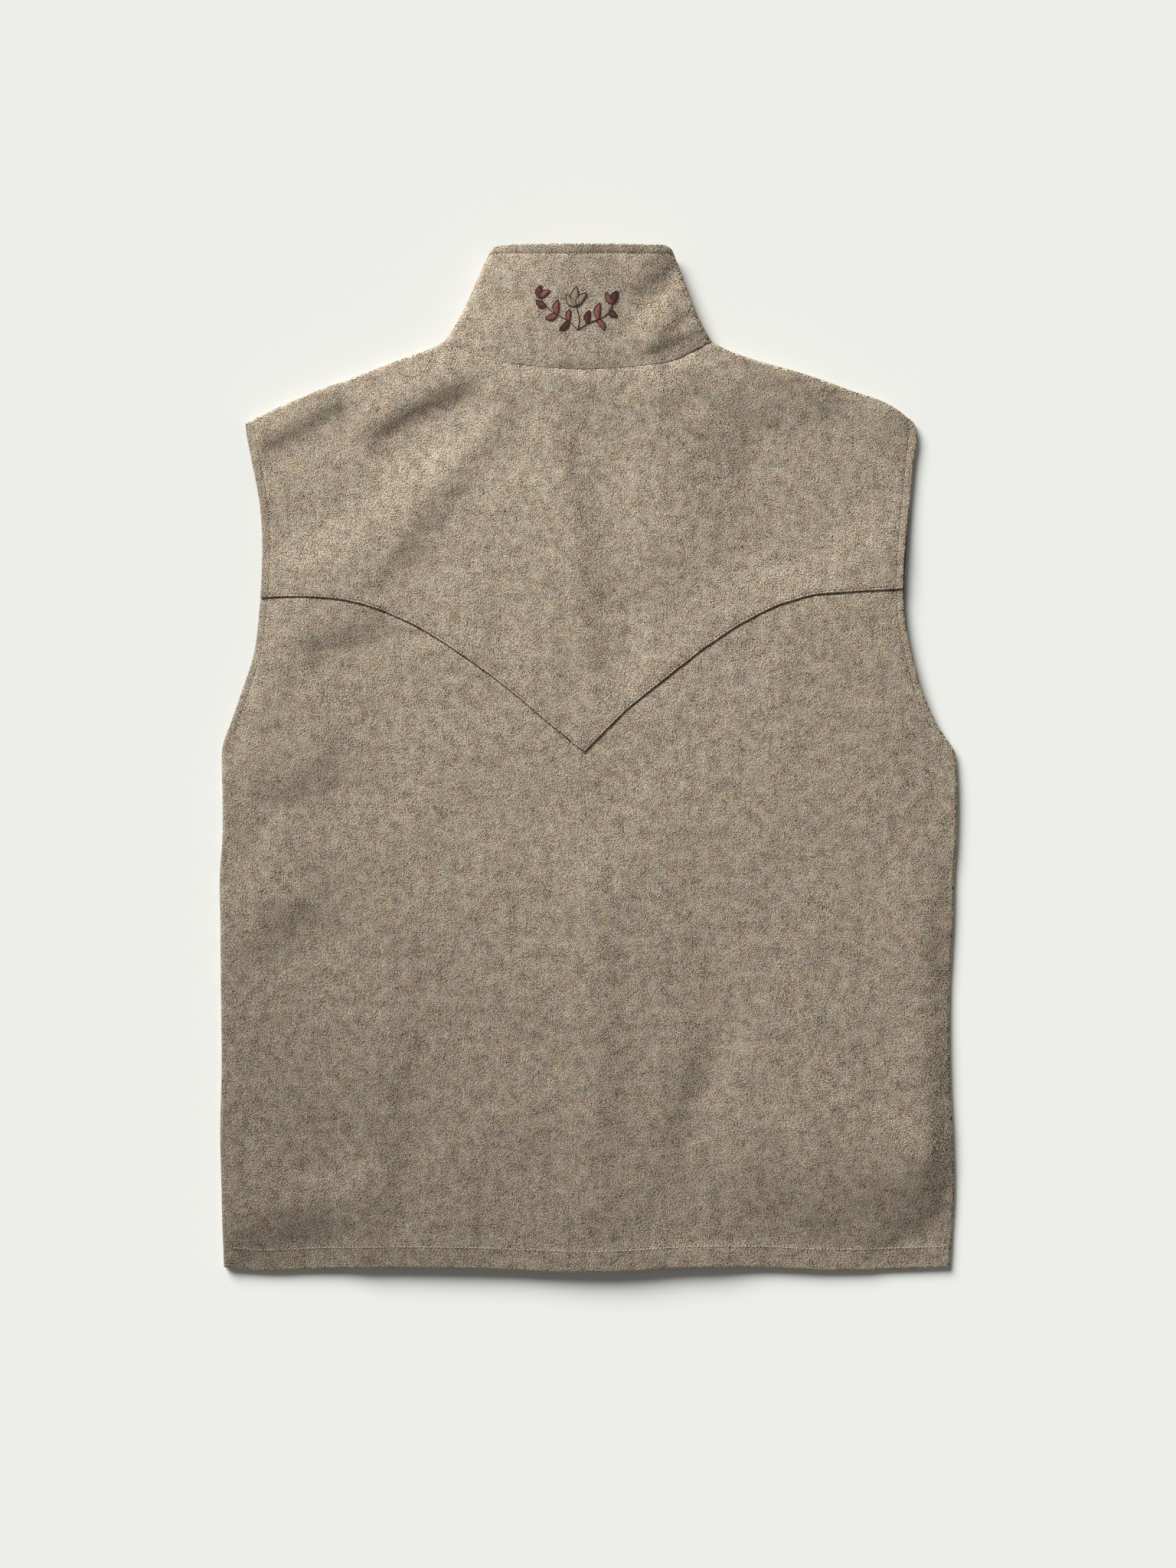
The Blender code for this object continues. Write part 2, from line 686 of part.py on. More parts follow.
def collar_points():
    """Grid of the collar's outer face: rings from the neck seam up to the top edge. A ring runs from
    the left front end, under the left side, over the back and under the right side."""
    left, back, right = collar_half_front(-1), collar_back(), collar_half_front(1)
    low, high = (np.concatenate([left[i][:0:-1], back[i], right[i][1:]]) for i in (0, 1))
    left_turn, right_turn = neck_front_turn(len(left[0])), neck_front_turn(len(right[0]))
    back_turn = neck_turn(back[0][:, 0])
    ring_turn = np.concatenate([left_turn[:0:-1], back_turn, right_turn[1:]])
    low[:, 1] += SEAM_GAP * (1 + ring_turn)
    first = len(left[0]) - 1
    on_back = slice(first, first + len(back[0]))
    free = np.zeros(len(low))
    free[on_back] = 1 - back_turn
    grid = []
    for v in np.linspace(0, 1, COLLAR_ROWS + 1):
        ring = mix(low, high, v)
        half = mix(NECK_RIGHT_X - NECK_LEFT_X, COLLAR_RIGHT_X - COLLAR_LEFT_X, v) / 2
        waist = COLLAR_WAIST / half * WAIST_SHARE * v * (1 - v) ** 2
        ring[:, 0] -= (ring[:, 0] - MIDDLE_X) * waist
        ring[:, 2] += free * ease(2 * v) * fold_height(ring[:, 0], ring[:, 1], COLLAR_FOLDS)
        grid.append(ring)
    return np.array(grid)


def lining_points():
    """Grid of the lining edge's upper face, a narrow strip under the edge of the right armhole."""
    middle = (LINING_LOW_Y + LINING_HIGH_Y) / 2
    grid = []
    for y in np.linspace(LINING_LOW_Y, LINING_HIGH_Y, LINING_ROWS):
        shows = LINING_SHOWS * (1 - ((y - middle) / (LINING_HIGH_Y - middle)) ** 2)
        outer = right_edge(y) + shows
        x = outer - LINING_WIDTH * np.linspace(1, 0, LINING_STEPS)
        under = back_height(x, y + 0 * x) - WALL - LAP_GAP
        grid.append(np.stack([x, y + 0 * x, under], axis=-1))
    return np.array(grid)


def main():
    for old in list(bpy.data.objects):
        bpy.data.objects.remove(old, do_unlink=True)
    vest = bpy.data.collections.new("wool_vest")
    bpy.context.scene.collection.children.link(vest)
    wool = make_material("wool", (0.30, 0.24, 0.18), 0.95)
    lining = make_material("lining", (0.01, 0.01, 0.012), 0.6)
    make_wall("back_body", back_body_points(), WALL, wool, vest)
    make_wall("back_yoke", yoke_points(), WALL, wool, vest)
    make_wall("collar", collar_points(), WALL, wool, vest)
    make_wall("front_left", front_points(-1), WALL, wool, vest, outer_down=True)
    make_wall("front_right", front_points(1), WALL, wool, vest, outer_down=True)
    make_wall("armhole_lining_right", lining_points(), LINING_WALL, lining, vest)


main()
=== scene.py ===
import bpy
import numpy as np
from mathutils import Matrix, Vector
from mathutils.bvhtree import BVHTree


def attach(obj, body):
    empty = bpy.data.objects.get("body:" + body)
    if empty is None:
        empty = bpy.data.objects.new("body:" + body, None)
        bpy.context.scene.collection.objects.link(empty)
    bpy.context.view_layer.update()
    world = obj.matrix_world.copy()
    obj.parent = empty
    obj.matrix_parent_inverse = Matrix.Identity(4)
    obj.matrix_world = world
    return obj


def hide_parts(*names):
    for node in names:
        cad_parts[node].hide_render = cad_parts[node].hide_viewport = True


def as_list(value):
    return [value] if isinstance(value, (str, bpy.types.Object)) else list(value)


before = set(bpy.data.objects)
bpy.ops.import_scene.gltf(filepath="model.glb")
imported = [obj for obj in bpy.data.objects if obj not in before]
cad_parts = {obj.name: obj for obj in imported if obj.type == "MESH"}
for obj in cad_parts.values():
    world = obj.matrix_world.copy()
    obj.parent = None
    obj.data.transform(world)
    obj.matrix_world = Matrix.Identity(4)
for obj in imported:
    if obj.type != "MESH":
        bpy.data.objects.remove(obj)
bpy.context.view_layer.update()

mm = 0.001
print("stage: the packed model is loaded")


# Shader nodes, written as sums on sockets
class Wire:
    def __init__(self, tree, socket=None):
        self.tree = tree
        self.socket = socket

    def node(self, kind, settings=None, links=None, output=0):
        made = self.tree.nodes.new("ShaderNode" + kind)
        for name, value in (settings or {}).items():
            if name == "stops":  # a ramp's places and colours
                while len(made.color_ramp.elements) < len(value):
                    made.color_ramp.elements.new(0.5)
                for element, (place, colour) in zip(made.color_ramp.elements, value):
                    element.position = place
                    element.color = (*colour, 1)
            else:
                setattr(made, name, value)
        for name, value in (links or {}).items():
            if isinstance(value, Wire):
                self.tree.links.new(value.socket, made.inputs[name])
            else:
                made.inputs[name].default_value = value
        return Wire(self.tree, made.outputs[output])

    def math(self, operation, a, b=0.0):
        return self.node("Math", {"operation": operation}, {0: a, 1: b})

    def __add__(self, other):
        return self.math("ADD", self, other)

    def __sub__(self, other):
        return self.math("SUBTRACT", self, other)

    def __rsub__(self, other):
        return self.math("SUBTRACT", other, self)

    def __mul__(self, other):
        return self.math("MULTIPLY", self, other)

    __radd__ = __add__
    __rmul__ = __mul__

    def clipped(self, low, high):  # 0 at low, 1 at high
        links = {"Value": self, "From Min": low, "From Max": high}
        return self.node("MapRange", {"clamp": True}, links)

    def mixed(self, a, b):  # colour a to b by this value
        a, b = (c if isinstance(c, Wire) else (*c, 1) for c in (a, b))
        return self.node("Mix", {"data_type": "RGBA"}, {0: self, 6: a, 7: b}, 2)


def newMaterial(name, fixed):
    material = bpy.data.materials.new(name)
    material.use_nodes = True
    shader = material.node_tree.nodes["Principled BSDF"]
    for socket, value in fixed.items():
        shader.inputs[socket].default_value = value
    return material, Wire(material.node_tree), shader.inputs


def linear(*levels):  # a screen colour, 0 to 255, as light
    return tuple(((v / 255 + 0.055) / 1.055) ** 2.4 for v in levels)


woolLook = {
    "dark": linear(54, 21, 0),       # the darkest fibres
    "middle": linear(149, 127, 100),
    "pale": linear(252, 237, 213),   # the palest fibres
    "rust": linear(165, 128, 80),    # a few stained spots
    "fibreWide": 0.34 * mm,
    "fibreLong": 0.85 * mm,
    "warp": 2.5 * mm,                # the weave repeats over this width
    "weft": 3.3 * mm,                # and this height
    "wander": 5,                     # radians, how far its threads stray
    "slant": 0.7,                    # radians, of the loose fibres on top
    "contrast": 4.6,
    "weave": 0.10,                   # how far warp and weft differ in shade
    "weaveEdge": 0.2,                # how softly one gives way to the other
    "slubs": (1.5 * mm, 26 * mm),    # thicker stretches of yarn
    "slubby": 0.16,
    "blotchSize": 9 * mm,
    "blotchRough": 0.6,
    "patchy": 1.20,                  # light and dark patches
    "speckle": 0.45,                 # and smaller ones
    "speckleSize": 2.4 * mm,
    "spotSize": 6 * mm,
    "spotRange": (0.82, 0.90),       # only the peaks of a noise make spots
    "spots": 0.4,
    "dyes": (  # the fleece is unevenly dyed: strength, length and width of its patches, and two tints
        (0.45, 22 * mm, 7 * mm, (0.70, 0.44, 0.46), (0.34, 0.56, 0.52)),
        (0.40, 9 * mm, 4 * mm, (0.60, 0.52, 0.32), (0.40, 0.48, 0.66)),
    ),
    "dyeRange": (0.3, 0.7),
    "nap": 0.30 * mm,                # height of the fibres
    "napShows": 0.6,
    "lean": 0.7,                     # the fibres are shifted up a standing edge by this share of its height
    "finish": {
        "Roughness": 0.92,
        "Sheen Weight": 0.04,
        "Sheen Tint": (1, 0.8, 0.5, 1),
        "Specular IOR Level": 0.1,
    },
}


def woolMaterial(name, look):
    material, wire, shader = newMaterial(name, look["finish"])
    place = wire.node("TexCoord", output="Object")
    x, y, z = (wire.node("SeparateXYZ", {}, {"Vector": place}, axis) for axis in "XYZ")
    x = x + z * look["lean"]
    y = y + z * look["lean"]
    flat = wire.node("CombineXYZ", {}, {"X": x, "Y": y})

    def streaks(long, wide, turn):
        along = wire.node("Mapping", {}, {"Vector": flat, "Rotation": (0, 0, turn)})
        along = wire.node("Mapping", {}, {"Vector": along, "Scale": (1 / long, 1 / wide, 1)})
        links = {"Vector": along, "Scale": 1.0, "Detail": 0.0}
        return wire.node("TexNoise", {"noise_dimensions": "2D"}, links)

    def fibres(turn):
        return streaks(look["fibreLong"], look["fibreWide"], turn)

    def patches(size, detail):
        links = {"Vector": flat, "Scale": 1 / size, "Detail": detail, "Roughness": look["blotchRough"]}
        return wire.node("TexNoise", {"noise_dimensions": "2D"}, links)

    broad = patches(look["blotchSize"], 2.0)
    across = wire.math("SINE", x * (2 * np.pi / look["warp"]) + broad * look["wander"])
    up = wire.math("SINE", y * (2 * np.pi / look["weft"]) + broad * look["wander"])
    warpOnTop = (across * up).clipped(-look["weaveEdge"], look["weaveEdge"])
    weft = fibres(0)
    woven = weft + (fibres(np.pi / 2) - weft) * warpOnTop
    wide, long = look["slubs"]
    slubs = streaks(long, wide, 0) + streaks(long, wide, np.pi / 2) - 1
    grain = (woven + fibres(look["slant"]) - 1) * look["contrast"] + slubs * look["slubby"]
    grain = grain + (warpOnTop - 0.5) * look["weave"] + (broad - 0.5) * look["patchy"] + 0.5
    grain = grain + (patches(look["speckleSize"], 1.0) - 0.5) * look["speckle"]
    grain = grain.clipped(0, 1)
    stops = [(0.0, look["dark"]), (0.5, look["middle"]), (1.0, look["pale"])]
    colour = wire.node("ValToRGB", {"stops": stops}, {"Fac": grain})
    for strength, long, wide, *tints in look["dyes"]:
        where = (streaks(long, wide, 0) + streaks(long, wide, np.pi / 2)) * 0.5
        tint = where.clipped(*look["dyeRange"]).mixed(*tints)
        settings = {"data_type": "RGBA", "blend_type": "SOFT_LIGHT"}
        colour = wire.node("Mix", settings, {0: strength, 6: colour, 7: tint}, 2)
    spots = patches(look["spotSize"], 0.0).clipped(*look["spotRange"]) * look["spots"]
    colour = spots.mixed(colour, look["rust"])
    wire.tree.links.new(colour.socket, shader["Base Color"])
    bump = wire.node("Bump", {}, {"Height": woven, "Distance": look["nap"], "Strength": look["napShows"]})
    wire.tree.links.new(bump.socket, shader["Normal"])
    return material


threadLook = {
    "fibre": 0.5 * mm,
    "patch": 4 * mm,                 # the dye is uneven over this length
    "shares": (0.6, 0.4),            # of fibres and patches in the shade
    "range": (0.3, 0.7),
    "shades": (0.72, 1.28),          # the darkest and the palest, as shares of the colour
    "bump": 0.1 * mm,
    "bumpShows": 0.5,
    "specular": 0.3,
}


def threadMaterial(name, colour, roughness, sheen):  # unevenly dyed and fibrous
    look = threadLook
    fixed = {"Roughness": roughness, "Sheen Weight": sheen, "Specular IOR Level": look["specular"]}
    material, wire, shader = newMaterial(name, fixed)
    place = wire.node("TexCoord", output="Object")
    fibres = wire.node("TexNoise", {}, {"Vector": place, "Scale": 1 / look["fibre"], "Detail": 1.0})
    patches = wire.node("TexNoise", {}, {"Vector": place, "Scale": 1 / look["patch"], "Detail": 1.0})
    fine, broad = look["shares"]
    shade = (fibres * fine + patches * broad).clipped(*look["range"])
    dark, pale = (tuple(c * share for c in colour) for share in look["shades"])
    wire.tree.links.new(shade.mixed(dark, pale).socket, shader["Base Color"])
    links = {"Height": fibres, "Distance": look["bump"], "Strength": look["bumpShows"]}
    wire.tree.links.new(wire.node("Bump", {}, links).socket, shader["Normal"])
    return material


# The vest's lines, repeated from its model
def table(columns, *rows):  # rows of millimetres become named columns of metres
    return dict(zip(columns.split(), mm * np.array(rows, float).T))


outline = table(
    "y left right",
    (-387.0, -277.4, 275.0),
    (-354.4, -278.5, 277.2),
    (-331.2, -279.1, 278.4),
    (-284.6, -280.2, 277.3),
    (-238.0, -279.2, 275.2),
    (-179.8, -279.7, 275.0),
    (-121.6, -280.2, 277.8),
    (-86.7, -280.6, 278.6),
    (-63.4, -278.8, 280.1),
    (-28.5, -278.5, 280.8),
    (-5.2, -279.1, 279.9),
    (6.4, -278.9, 278.2),
    (18.0, -276.2, 270.6),
    (29.7, -271.5, 263.4),
    (53.0, -263.3, 253.5),
    (76.2, -255.6, 246.7),
    (111.2, -250.6, 240.3),
    (134.4, -248.8, 239.5),
    (157.7, -248.2, 240.7),
    (181.0, -248.8, 243.0),
    (204.3, -251.7, 245.3),
    (227.6, -256.4, 247.7),
    (249.0, -260.4, 249.6),
    (255.5, -261.0, 248.2),
)
hemLine = table(
    "x y",
    (-277.4, -387.0),
    (-249.4, -389.6),
    (-212.1, -388.2),
    (-74.8, -387.9),
    (-35.2, -389.6),
    (29.9, -389.6),
    (59.1, -387.6),
    (123.1, -386.8),
    (188.3, -389.3),
    (234.8, -388.3),
    (275.0, -387.0),
)
yokeLeft = table(
    "x y",
    (-249.8, 122.2),
    (-229.0, 123.4),
    (-202.8, 122.8),
    (-167.9, 116.4),
    (-133.0, 101.9),
    (-98.1, 80.3),
    (-63.1, 54.7),
    (-28.2, 25.6),
    (-3.2, 5.2),
)
yokeRight = table(
    "x y",
    (-3.2, 5.2),
    (25.9, 34.3),
    (60.8, 62.9),
    (95.7, 89.6),
    (130.7, 110.6),
    (165.6, 123.4),
    (200.5, 126.9),
    (239.6, 129.6),
)
shoulderLeft = table(
    "x y",
    (-261.0, 255.5),
    (-240.1, 265.4),
    (-212.1, 277.6),
    (-174.9, 291.6),
    (-137.6, 305.6),
    (-119.0, 312.4),
    (-109.7, 317.2),
)
shoulderRight = table(
    "x y",
    (94.0, 317.2),
    (104.5, 311.4),
    (123.1, 304.4),
    (160.3, 293.9),
    (197.6, 281.1),
    (234.8, 265.9),
    (248.2, 255.5),
)
neckSeam = table(
    "x y",
    (-109.7, 317.2),
    (-92.0, 309.2),
    (-76.0, 303.2),
    (-42.2, 298.0),
    (-7.0, 295.4),
    (31.7, 297.4),
    (70.7, 304.4),
    (84.0, 311.6),
    (94.0, 317.2),
)

# Each fold is a soft step along a line that runs down the back, and is this wide. Its middle bends to the
# right, and the cloth right of it stands that much higher, or lower.
folds = table(
    "x1 y1 x2 y2 bend width height",
    (-85, 287, -170, 240, -1, 10, -4.6),
    (-182, 271, -251, 232, 0, 8, -3.2),
    (-91, 246, -242, 137, 3, 18, 3.0),
    (-75, 242, -163, 131, 2, 10, -2.2),
    (-43, 286, -75, 233, 0, 9, -1.2),
    (-21, 283, 15, 50, 3, 12, -3.4),
    (-27, 117, -22, 50, 0, 7, -1.2),
    (-71, 149, -69, 62, 0, 8, -0.9),
    (91, 287, 54, 267, 0, 14, -3.0),
    (98, 300, 92, 130, 0, 34, -4.0),
    (50, 292, 150, 218, 0, 13, -3.4),
    (120, 268, 79, 242, 0, 12, -2.0),
    (155, 254, 106, 221, 0, 13, -2.0),
    (196, 273, 159, 232, 0, 13, -2.4),
    (248, 268, 222, 228, 0, 12, -1.7),
    (190, 280, 98, 226, 0, 26, -4.0),
    (-237, 120, -268, -11, -3, 12, 3.0),
    (-153, 104, -217, 79, 0, 12, -3.0),
    (-180, 70, -200, -34, 0, 15, -2.1),
    (-196, -5, -239, -37, 0, 13, -1.5),
    (-226, -36, -277, -109, 0, 9, 1.5),
    (-206, -109, -258, -152, 0, 14, -3.0),
    (14, -86, 18, -372, 2, 12, -2.8),
    (92, -203, 40, -357, 2, 10, -1.7),
    (72, -60, 64, -372, 0, 30, -3.0),
    (129, -189, 56, -325, 2, 12, 1.3),
    (152, -244, 159, -349, 0, 9, 0.7),
    (-121, -285, -123, -357, 0, 10, 1.4),
    (-136, -159, -155, -349, 0, 12, -1.7),
    (267, -75, 266, -372, 0, 11, -3.9),
    (266, -300, 215, -385, 0, 30, -4.2),
    (285, -330, 105, -342, 0, 34, -5.2),
    (290, -350, 215, -376, 0, 16, -3.0),
    (-153, -308, -231, -332, 0, 14, 2.4),
    (-191, -347, -277, -379, 0, 17, -4.2),
    (245, 198, 140, 129, 0, 26, 2.4),
)
collarFolds = table(
    "x1 y1 x2 y2 bend width height",
    (74, 388, 36, 350, 0, 8, -1.7),
    (77, 372, 39, 332, 0, 7, 1.3),
    (81, 341, 54, 321, 0, 7, -1.9),
    (96, 322, 40, 304, 0, 7, -4.4),
)

vest = {
    "wall": 2.4 * mm,
    "seamGap": 0.35 * mm,
    "lapGap": 0.45 * mm,
    "underarmY": 8 * mm,
    "seamFade": 24 * mm,      # the side seam's round turn opens out over this length
    "middleX": -4.5 * mm,
    "halfWidth": 279 * mm,
    "roll": 2.6 * mm,         # how far in a seam's round turn reaches
    "neckRoll": 5.3 * mm,
    "upright": 0.22,          # share of the turn's height that stands straight up
    "turnSteps": 8,
    "hemDepth": 16 * mm,      # the hem's stitches run this far above its edge
    "stitchIn": 6 * mm,       # and the armhole's this far in from theirs
    "stitchesFrom": 6 * mm,   # above the underarm
    "valleyFade": 30 * mm,    # they draw the cloth in more and more over this length
    "edgeRound": 1.3 * mm,    # a free edge is rounded this far in
    "edgeThin": 0.12,         # down to this share of the wall
}
wall = vest["wall"]
middleX = vest["middleX"]
underarmY = vest["underarmY"]
softEdges = (vest["edgeRound"],) * 4  # at the first row, last row, first column and last column
nearly = 0.01 * mm


def glide(at, knots, values):  # a smooth curve through a table's two columns
    slopes = np.gradient(values, knots)
    i = np.clip(np.searchsorted(knots, at) - 1, 0, len(knots) - 2)
    step = knots[i + 1] - knots[i]
    t = np.clip((at - knots[i]) / step, 0, 1)
    rise = t * t * (3 - 2 * t)
    bend = t * (1 - t) ** 2 * slopes[i] - t * t * (1 - t) * slopes[i + 1]
    return (1 - rise) * values[i] + rise * values[i + 1] + bend * step


def ease(value):  # 0 to 1 with a soft start and end
    t = np.clip(value, 0, 1)
    return t * t * (3 - 2 * t)


def mix(a, b, share):
    return a + (b - a) * share


def leftEdge(y):
    return glide(y, outline["y"], outline["left"])


def rightEdge(y):
    return glide(y, outline["y"], outline["right"])


def hemY(x):
    return glide(x, hemLine["x"], hemLine["y"])


def yokeY(x):  # the yoke's lower edge, two arms that meet in a point
    left = glide(x, yokeLeft["x"], yokeLeft["y"])
    right = glide(x, yokeRight["x"], yokeRight["y"])
    return np.where(x < yokeRight["x"][0], left, right)


def neckY(x):
    return glide(x, neckSeam["x"], neckSeam["y"])


neckLeftX, neckRightX = neckSeam["x"][[0, -1]]
neckSideY = neckSeam["y"][0]
tipLeft = np.array([shoulderLeft["x"][0], shoulderLeft["y"][0]])
tipRight = np.array([shoulderRight["x"][-1], shoulderRight["y"][-1]])
yokeLeftY = yokeLeft["y"][0]
yokeRightY = yokeRight["y"][-1]
hemSideY = outline["y"][0]


def topY(x):  # left shoulder, neck seam, right shoulder
    left = glide(x, shoulderLeft["x"], shoulderLeft["y"])
    right = glide(x, shoulderRight["x"], shoulderRight["y"])
    return np.where(x < neckLeftX, left, np.where(x > neckRightX, right, neckY(x)))


foldPast = 0.12  # a fold runs on past its line's ends by this share of its length
foldFade = 0.3   # and fades out over this share
foldReach = 3    # it is gone this many widths away


def foldHeight(x, y, rows):
    total = np.zeros(np.broadcast(x, y).shape)
    for x1, y1, x2, y2, bend, width, height in zip(*rows.values()):
        alongX, alongY = x2 - x1, y2 - y1
        long = np.hypot(alongX, alongY)
        t = ((x - x1) * alongX + (y - y1) * alongY) / long**2
        away = ((y - y1) * alongX - (x - x1) * alongY) / long - 4 * bend * ease(t) * ease(1 - t)
        ends = ease((t + foldPast) / foldFade) * ease((1 + foldPast - t) / foldFade)
        near = np.exp(-((away / (foldReach * width)) ** 2))
        total = total + height * ends * np.tanh(away / width) * near
    return total


waveCells = 64
waveStart = ((0.37, 11.3), (0.61, 7.7))  # along x and y: the start moves this far with each seed, from here


def ripple(x, y, size, seed):  # smooth random waves between -1 and 1, of about this size
    heights = np.random.default_rng(seed).uniform(-1, 1, (waveCells, waveCells))
    x, y = (at / size + step * seed + first for at, (step, first) in zip((x, y), waveStart))
    i, j = np.floor(x).astype(int), np.floor(y).astype(int)
    u, v = ease(x - i), ease(y - j)
    right, above = (i + 1) % waveCells, (j + 1) % waveCells
    i, j = i % waveCells, j % waveCells
    low = mix(heights[i, j], heights[right, j], u)
    high = mix(heights[i, above], heights[right, above], u)
    return mix(low, high, v)


backForm = {
    "edgeSpace": 2.9 * mm,    # between back and fronts at the sides
    "chestSpace": 2.2 * mm,   # more in the middle
    "hemSpace": 4.6 * mm,     # and more there at the hem
    "hemSpaceY": 92 * mm,
    "hemSpaceOver": 335 * mm,
    "neckSpace": 6.4 * mm,
    "neckReachX": 78 * mm,
    "neckReachY": 62 * mm,
    "leastSpace": 0.4 * mm,
    "soften": 1.0 * mm,       # towards that least
    "fullness": 2.2,
    "hemRise": 0.4 * mm,      # the doubled hem stands this much higher
    "hemStep": 4 * mm,
    "waves": table("size height tall", (46, 0.8, 1), (21, 0.45, 1), (24, 0.55, 5), (9, 0.1, 1)),
}


def ruffled(x, y, seed):  # the cloth's unevenness
    waves = backForm["waves"]
    total = 0
    for i, (size, height, tall) in enumerate(zip(waves["size"], waves["height"], waves["tall"] / mm)):
        total = total + height * ripple(x, y / tall, size, seed + i)
    return total


def backHeight(x, y):  # of the back's outer face, before its edges turn down
    form = backForm
    across = 1 - np.clip(np.abs(x - middleX) / vest["halfWidth"], 0, 1) ** form["fullness"]
    lower = ease((form["hemSpaceY"] - y) / form["hemSpaceOver"])
    middle = mix(form["chestSpace"], form["hemSpace"], lower)
    reachX, reachY = form["neckReachX"], form["neckReachY"]
    neck = np.exp(-(((x - middleX) / reachX) ** 2) - ((y - neckSideY) / reachY) ** 2)
    space = form["edgeSpace"] + middle * across + form["neckSpace"] * neck
    space = space + foldHeight(x, y, folds)
    space = space + ruffled(x, y, 0)
    soft = form["soften"]
    space = form["leastSpace"] + soft * np.logaddexp(0, (space - form["leastSpace"]) / soft)
    hem = form["hemRise"] * ease((vest["hemDepth"] + form["hemStep"] - (y - hemY(x))) / form["hemStep"])
    return 2 * wall + space + hem


def coons(bottom, top, left, right, u, v):  # a place inside four edge curves
    low, high, near, far = bottom(u), top(u), left(v), right(v)
    made = []
    for axis in (0, 1):
        a, b = bottom(0.0)[axis], bottom(1.0)[axis]
        c, d = top(0.0)[axis], top(1.0)[axis]
        corners = mix(mix(a, b, u), mix(c, d, u), v)
        made.append(mix(low[axis], high[axis], v) + mix(near[axis], far[axis], u) - corners)
    return made


turnAngles = np.radians(np.linspace(0, 90, vest["turnSteps"]))
turnIn = vest["roll"] * np.concatenate([[0], 1 - np.cos(turnAngles)])
turnFlat = vest["roll"] * np.linspace(0, 1, len(turnIn))
turnRise = np.concatenate([[0], vest["upright"] + (1 - vest["upright"]) * np.sin(turnAngles)])
neckTurn = vest["neckRoll"] * (1 - np.cos(turnAngles))
besideStitch = vest["stitchIn"] + np.array([-1.4, -0.7, 0, 0.7, 1.4]) * mm
edgeSteps = list(turnFlat) + list(besideStitch)
stitchColumn = len(turnFlat) + len(besideStitch) // 2
besideHem = [d * mm for d in (0, 0.3, 0.7, 1.2, 2, 3.4, 5.5, 8, 10.5, 13)]
besideHem += list(vest["hemDepth"] + np.array([-1.4, -0.7, 0, 0.7, 1.4, 2.6]) * mm)
hemStitchRow = besideHem.index(vest["hemDepth"])


def between(start, end, step):  # even steps between two places, both left out
    count = max(int(round(abs(end - start) / step)), 1)
    return list(np.linspace(start, end, count + 1)[1:-1])


def columnsFor(width, step):
    first = np.array(edgeSteps) / width
    last = 1 - first[::-1]
    return np.array(list(first) + between(first[-1], last[0], step / width) + list(last))


def placesInTurn(count):  # each grid line's place in the turn at the low end, and at the high end
    low = np.minimum(np.arange(count), len(turnRise) - 1)
    return low, low[::-1]


def sideTurn(y):  # 1 where the side seam joins back and front, 0 beside the armhole
    return 1 - ease((y - underarmY) / vest["seamFade"])


def drop(z, edgeHeight, share):  # lowers the outer face towards its seam
    return z - share * (edgeHeight - vest["seamGap"]) / 2


def lengthsAlong(grid, axis):  # from the first line of the grid to each point, over the cloth
    steps = np.linalg.norm(np.diff(grid, axis=axis), axis=-1)
    first = np.zeros_like(np.take(steps, [0], axis))
    return np.concatenate([first, np.cumsum(steps, axis)], axis)


def unit(vectors):
    return vectors / np.maximum(np.linalg.norm(vectors, axis=-1, keepdims=True), 1e-12)


def normalsOf(grid):
    return unit(np.cross(np.gradient(grid, axis=1), np.gradient(grid, axis=0)))


valleys = {  # how deep and wide each seam or stitched line draws the cloth in
    "hem": (0.05 * mm, 1.1 * mm),
    "armhole": (0.4 * mm, 0.9 * mm),
    "underYoke": (0.8 * mm, 1.1 * mm),  # in the lower back, along the yoke's edge
    "yoke": (0.15 * mm, 0.8 * mm),
    "collarBand": (0.45 * mm, 1.0 * mm),
    "neck": (0.6 * mm, 3.4 * mm),
    "neckLine": (0.3 * mm, 0.3 * mm),
}
pucker = {"height": 0.16 * mm, "size": 7 * mm, "reach": 4}  # it reaches this many of a valley's widths
neckDraw = {
    "least": 0.25,            # at the left end
    "over": 120 * mm,         # it grows to 1 over this length
    "more": 1.5,              # at the right end
    "moreFrom": 50 * mm,
    "moreOver": 30 * mm,
    "uneven": 0.4,
    "every": 17 * mm,
}


def pressIn(grid, axis, line, depth, width, seed, where=1):
    # A stitched line draws the cloth in. axis 0 takes a row of the grid, 1 a column.
    lengths = lengthsAlong(grid, axis)
    away = lengths - np.take(lengths, [line], axis)
    lift = -depth * np.exp(-((away / width) ** 2))
    wave = ripple(grid[..., 0], grid[..., 1], pucker["size"], seed) * pucker["height"]
    lift = lift + wave * np.exp(-((away / (pucker["reach"] * width)) ** 2))
    return grid + normalsOf(grid) * (lift * where)[..., None]


def drawnIn(x):  # how strongly the neck seam draws in, unevenly along it and most at its right end
    along = mix(neckDraw["least"], 1, ease((x - neckLeftX) / neckDraw["over"]))
    along = along + neckDraw["more"] * ease((x - neckDraw["moreFrom"]) / neckDraw["moreOver"])
    return along * (1 + neckDraw["uneven"] * ripple(x, 0 * x, neckDraw["every"], 40))


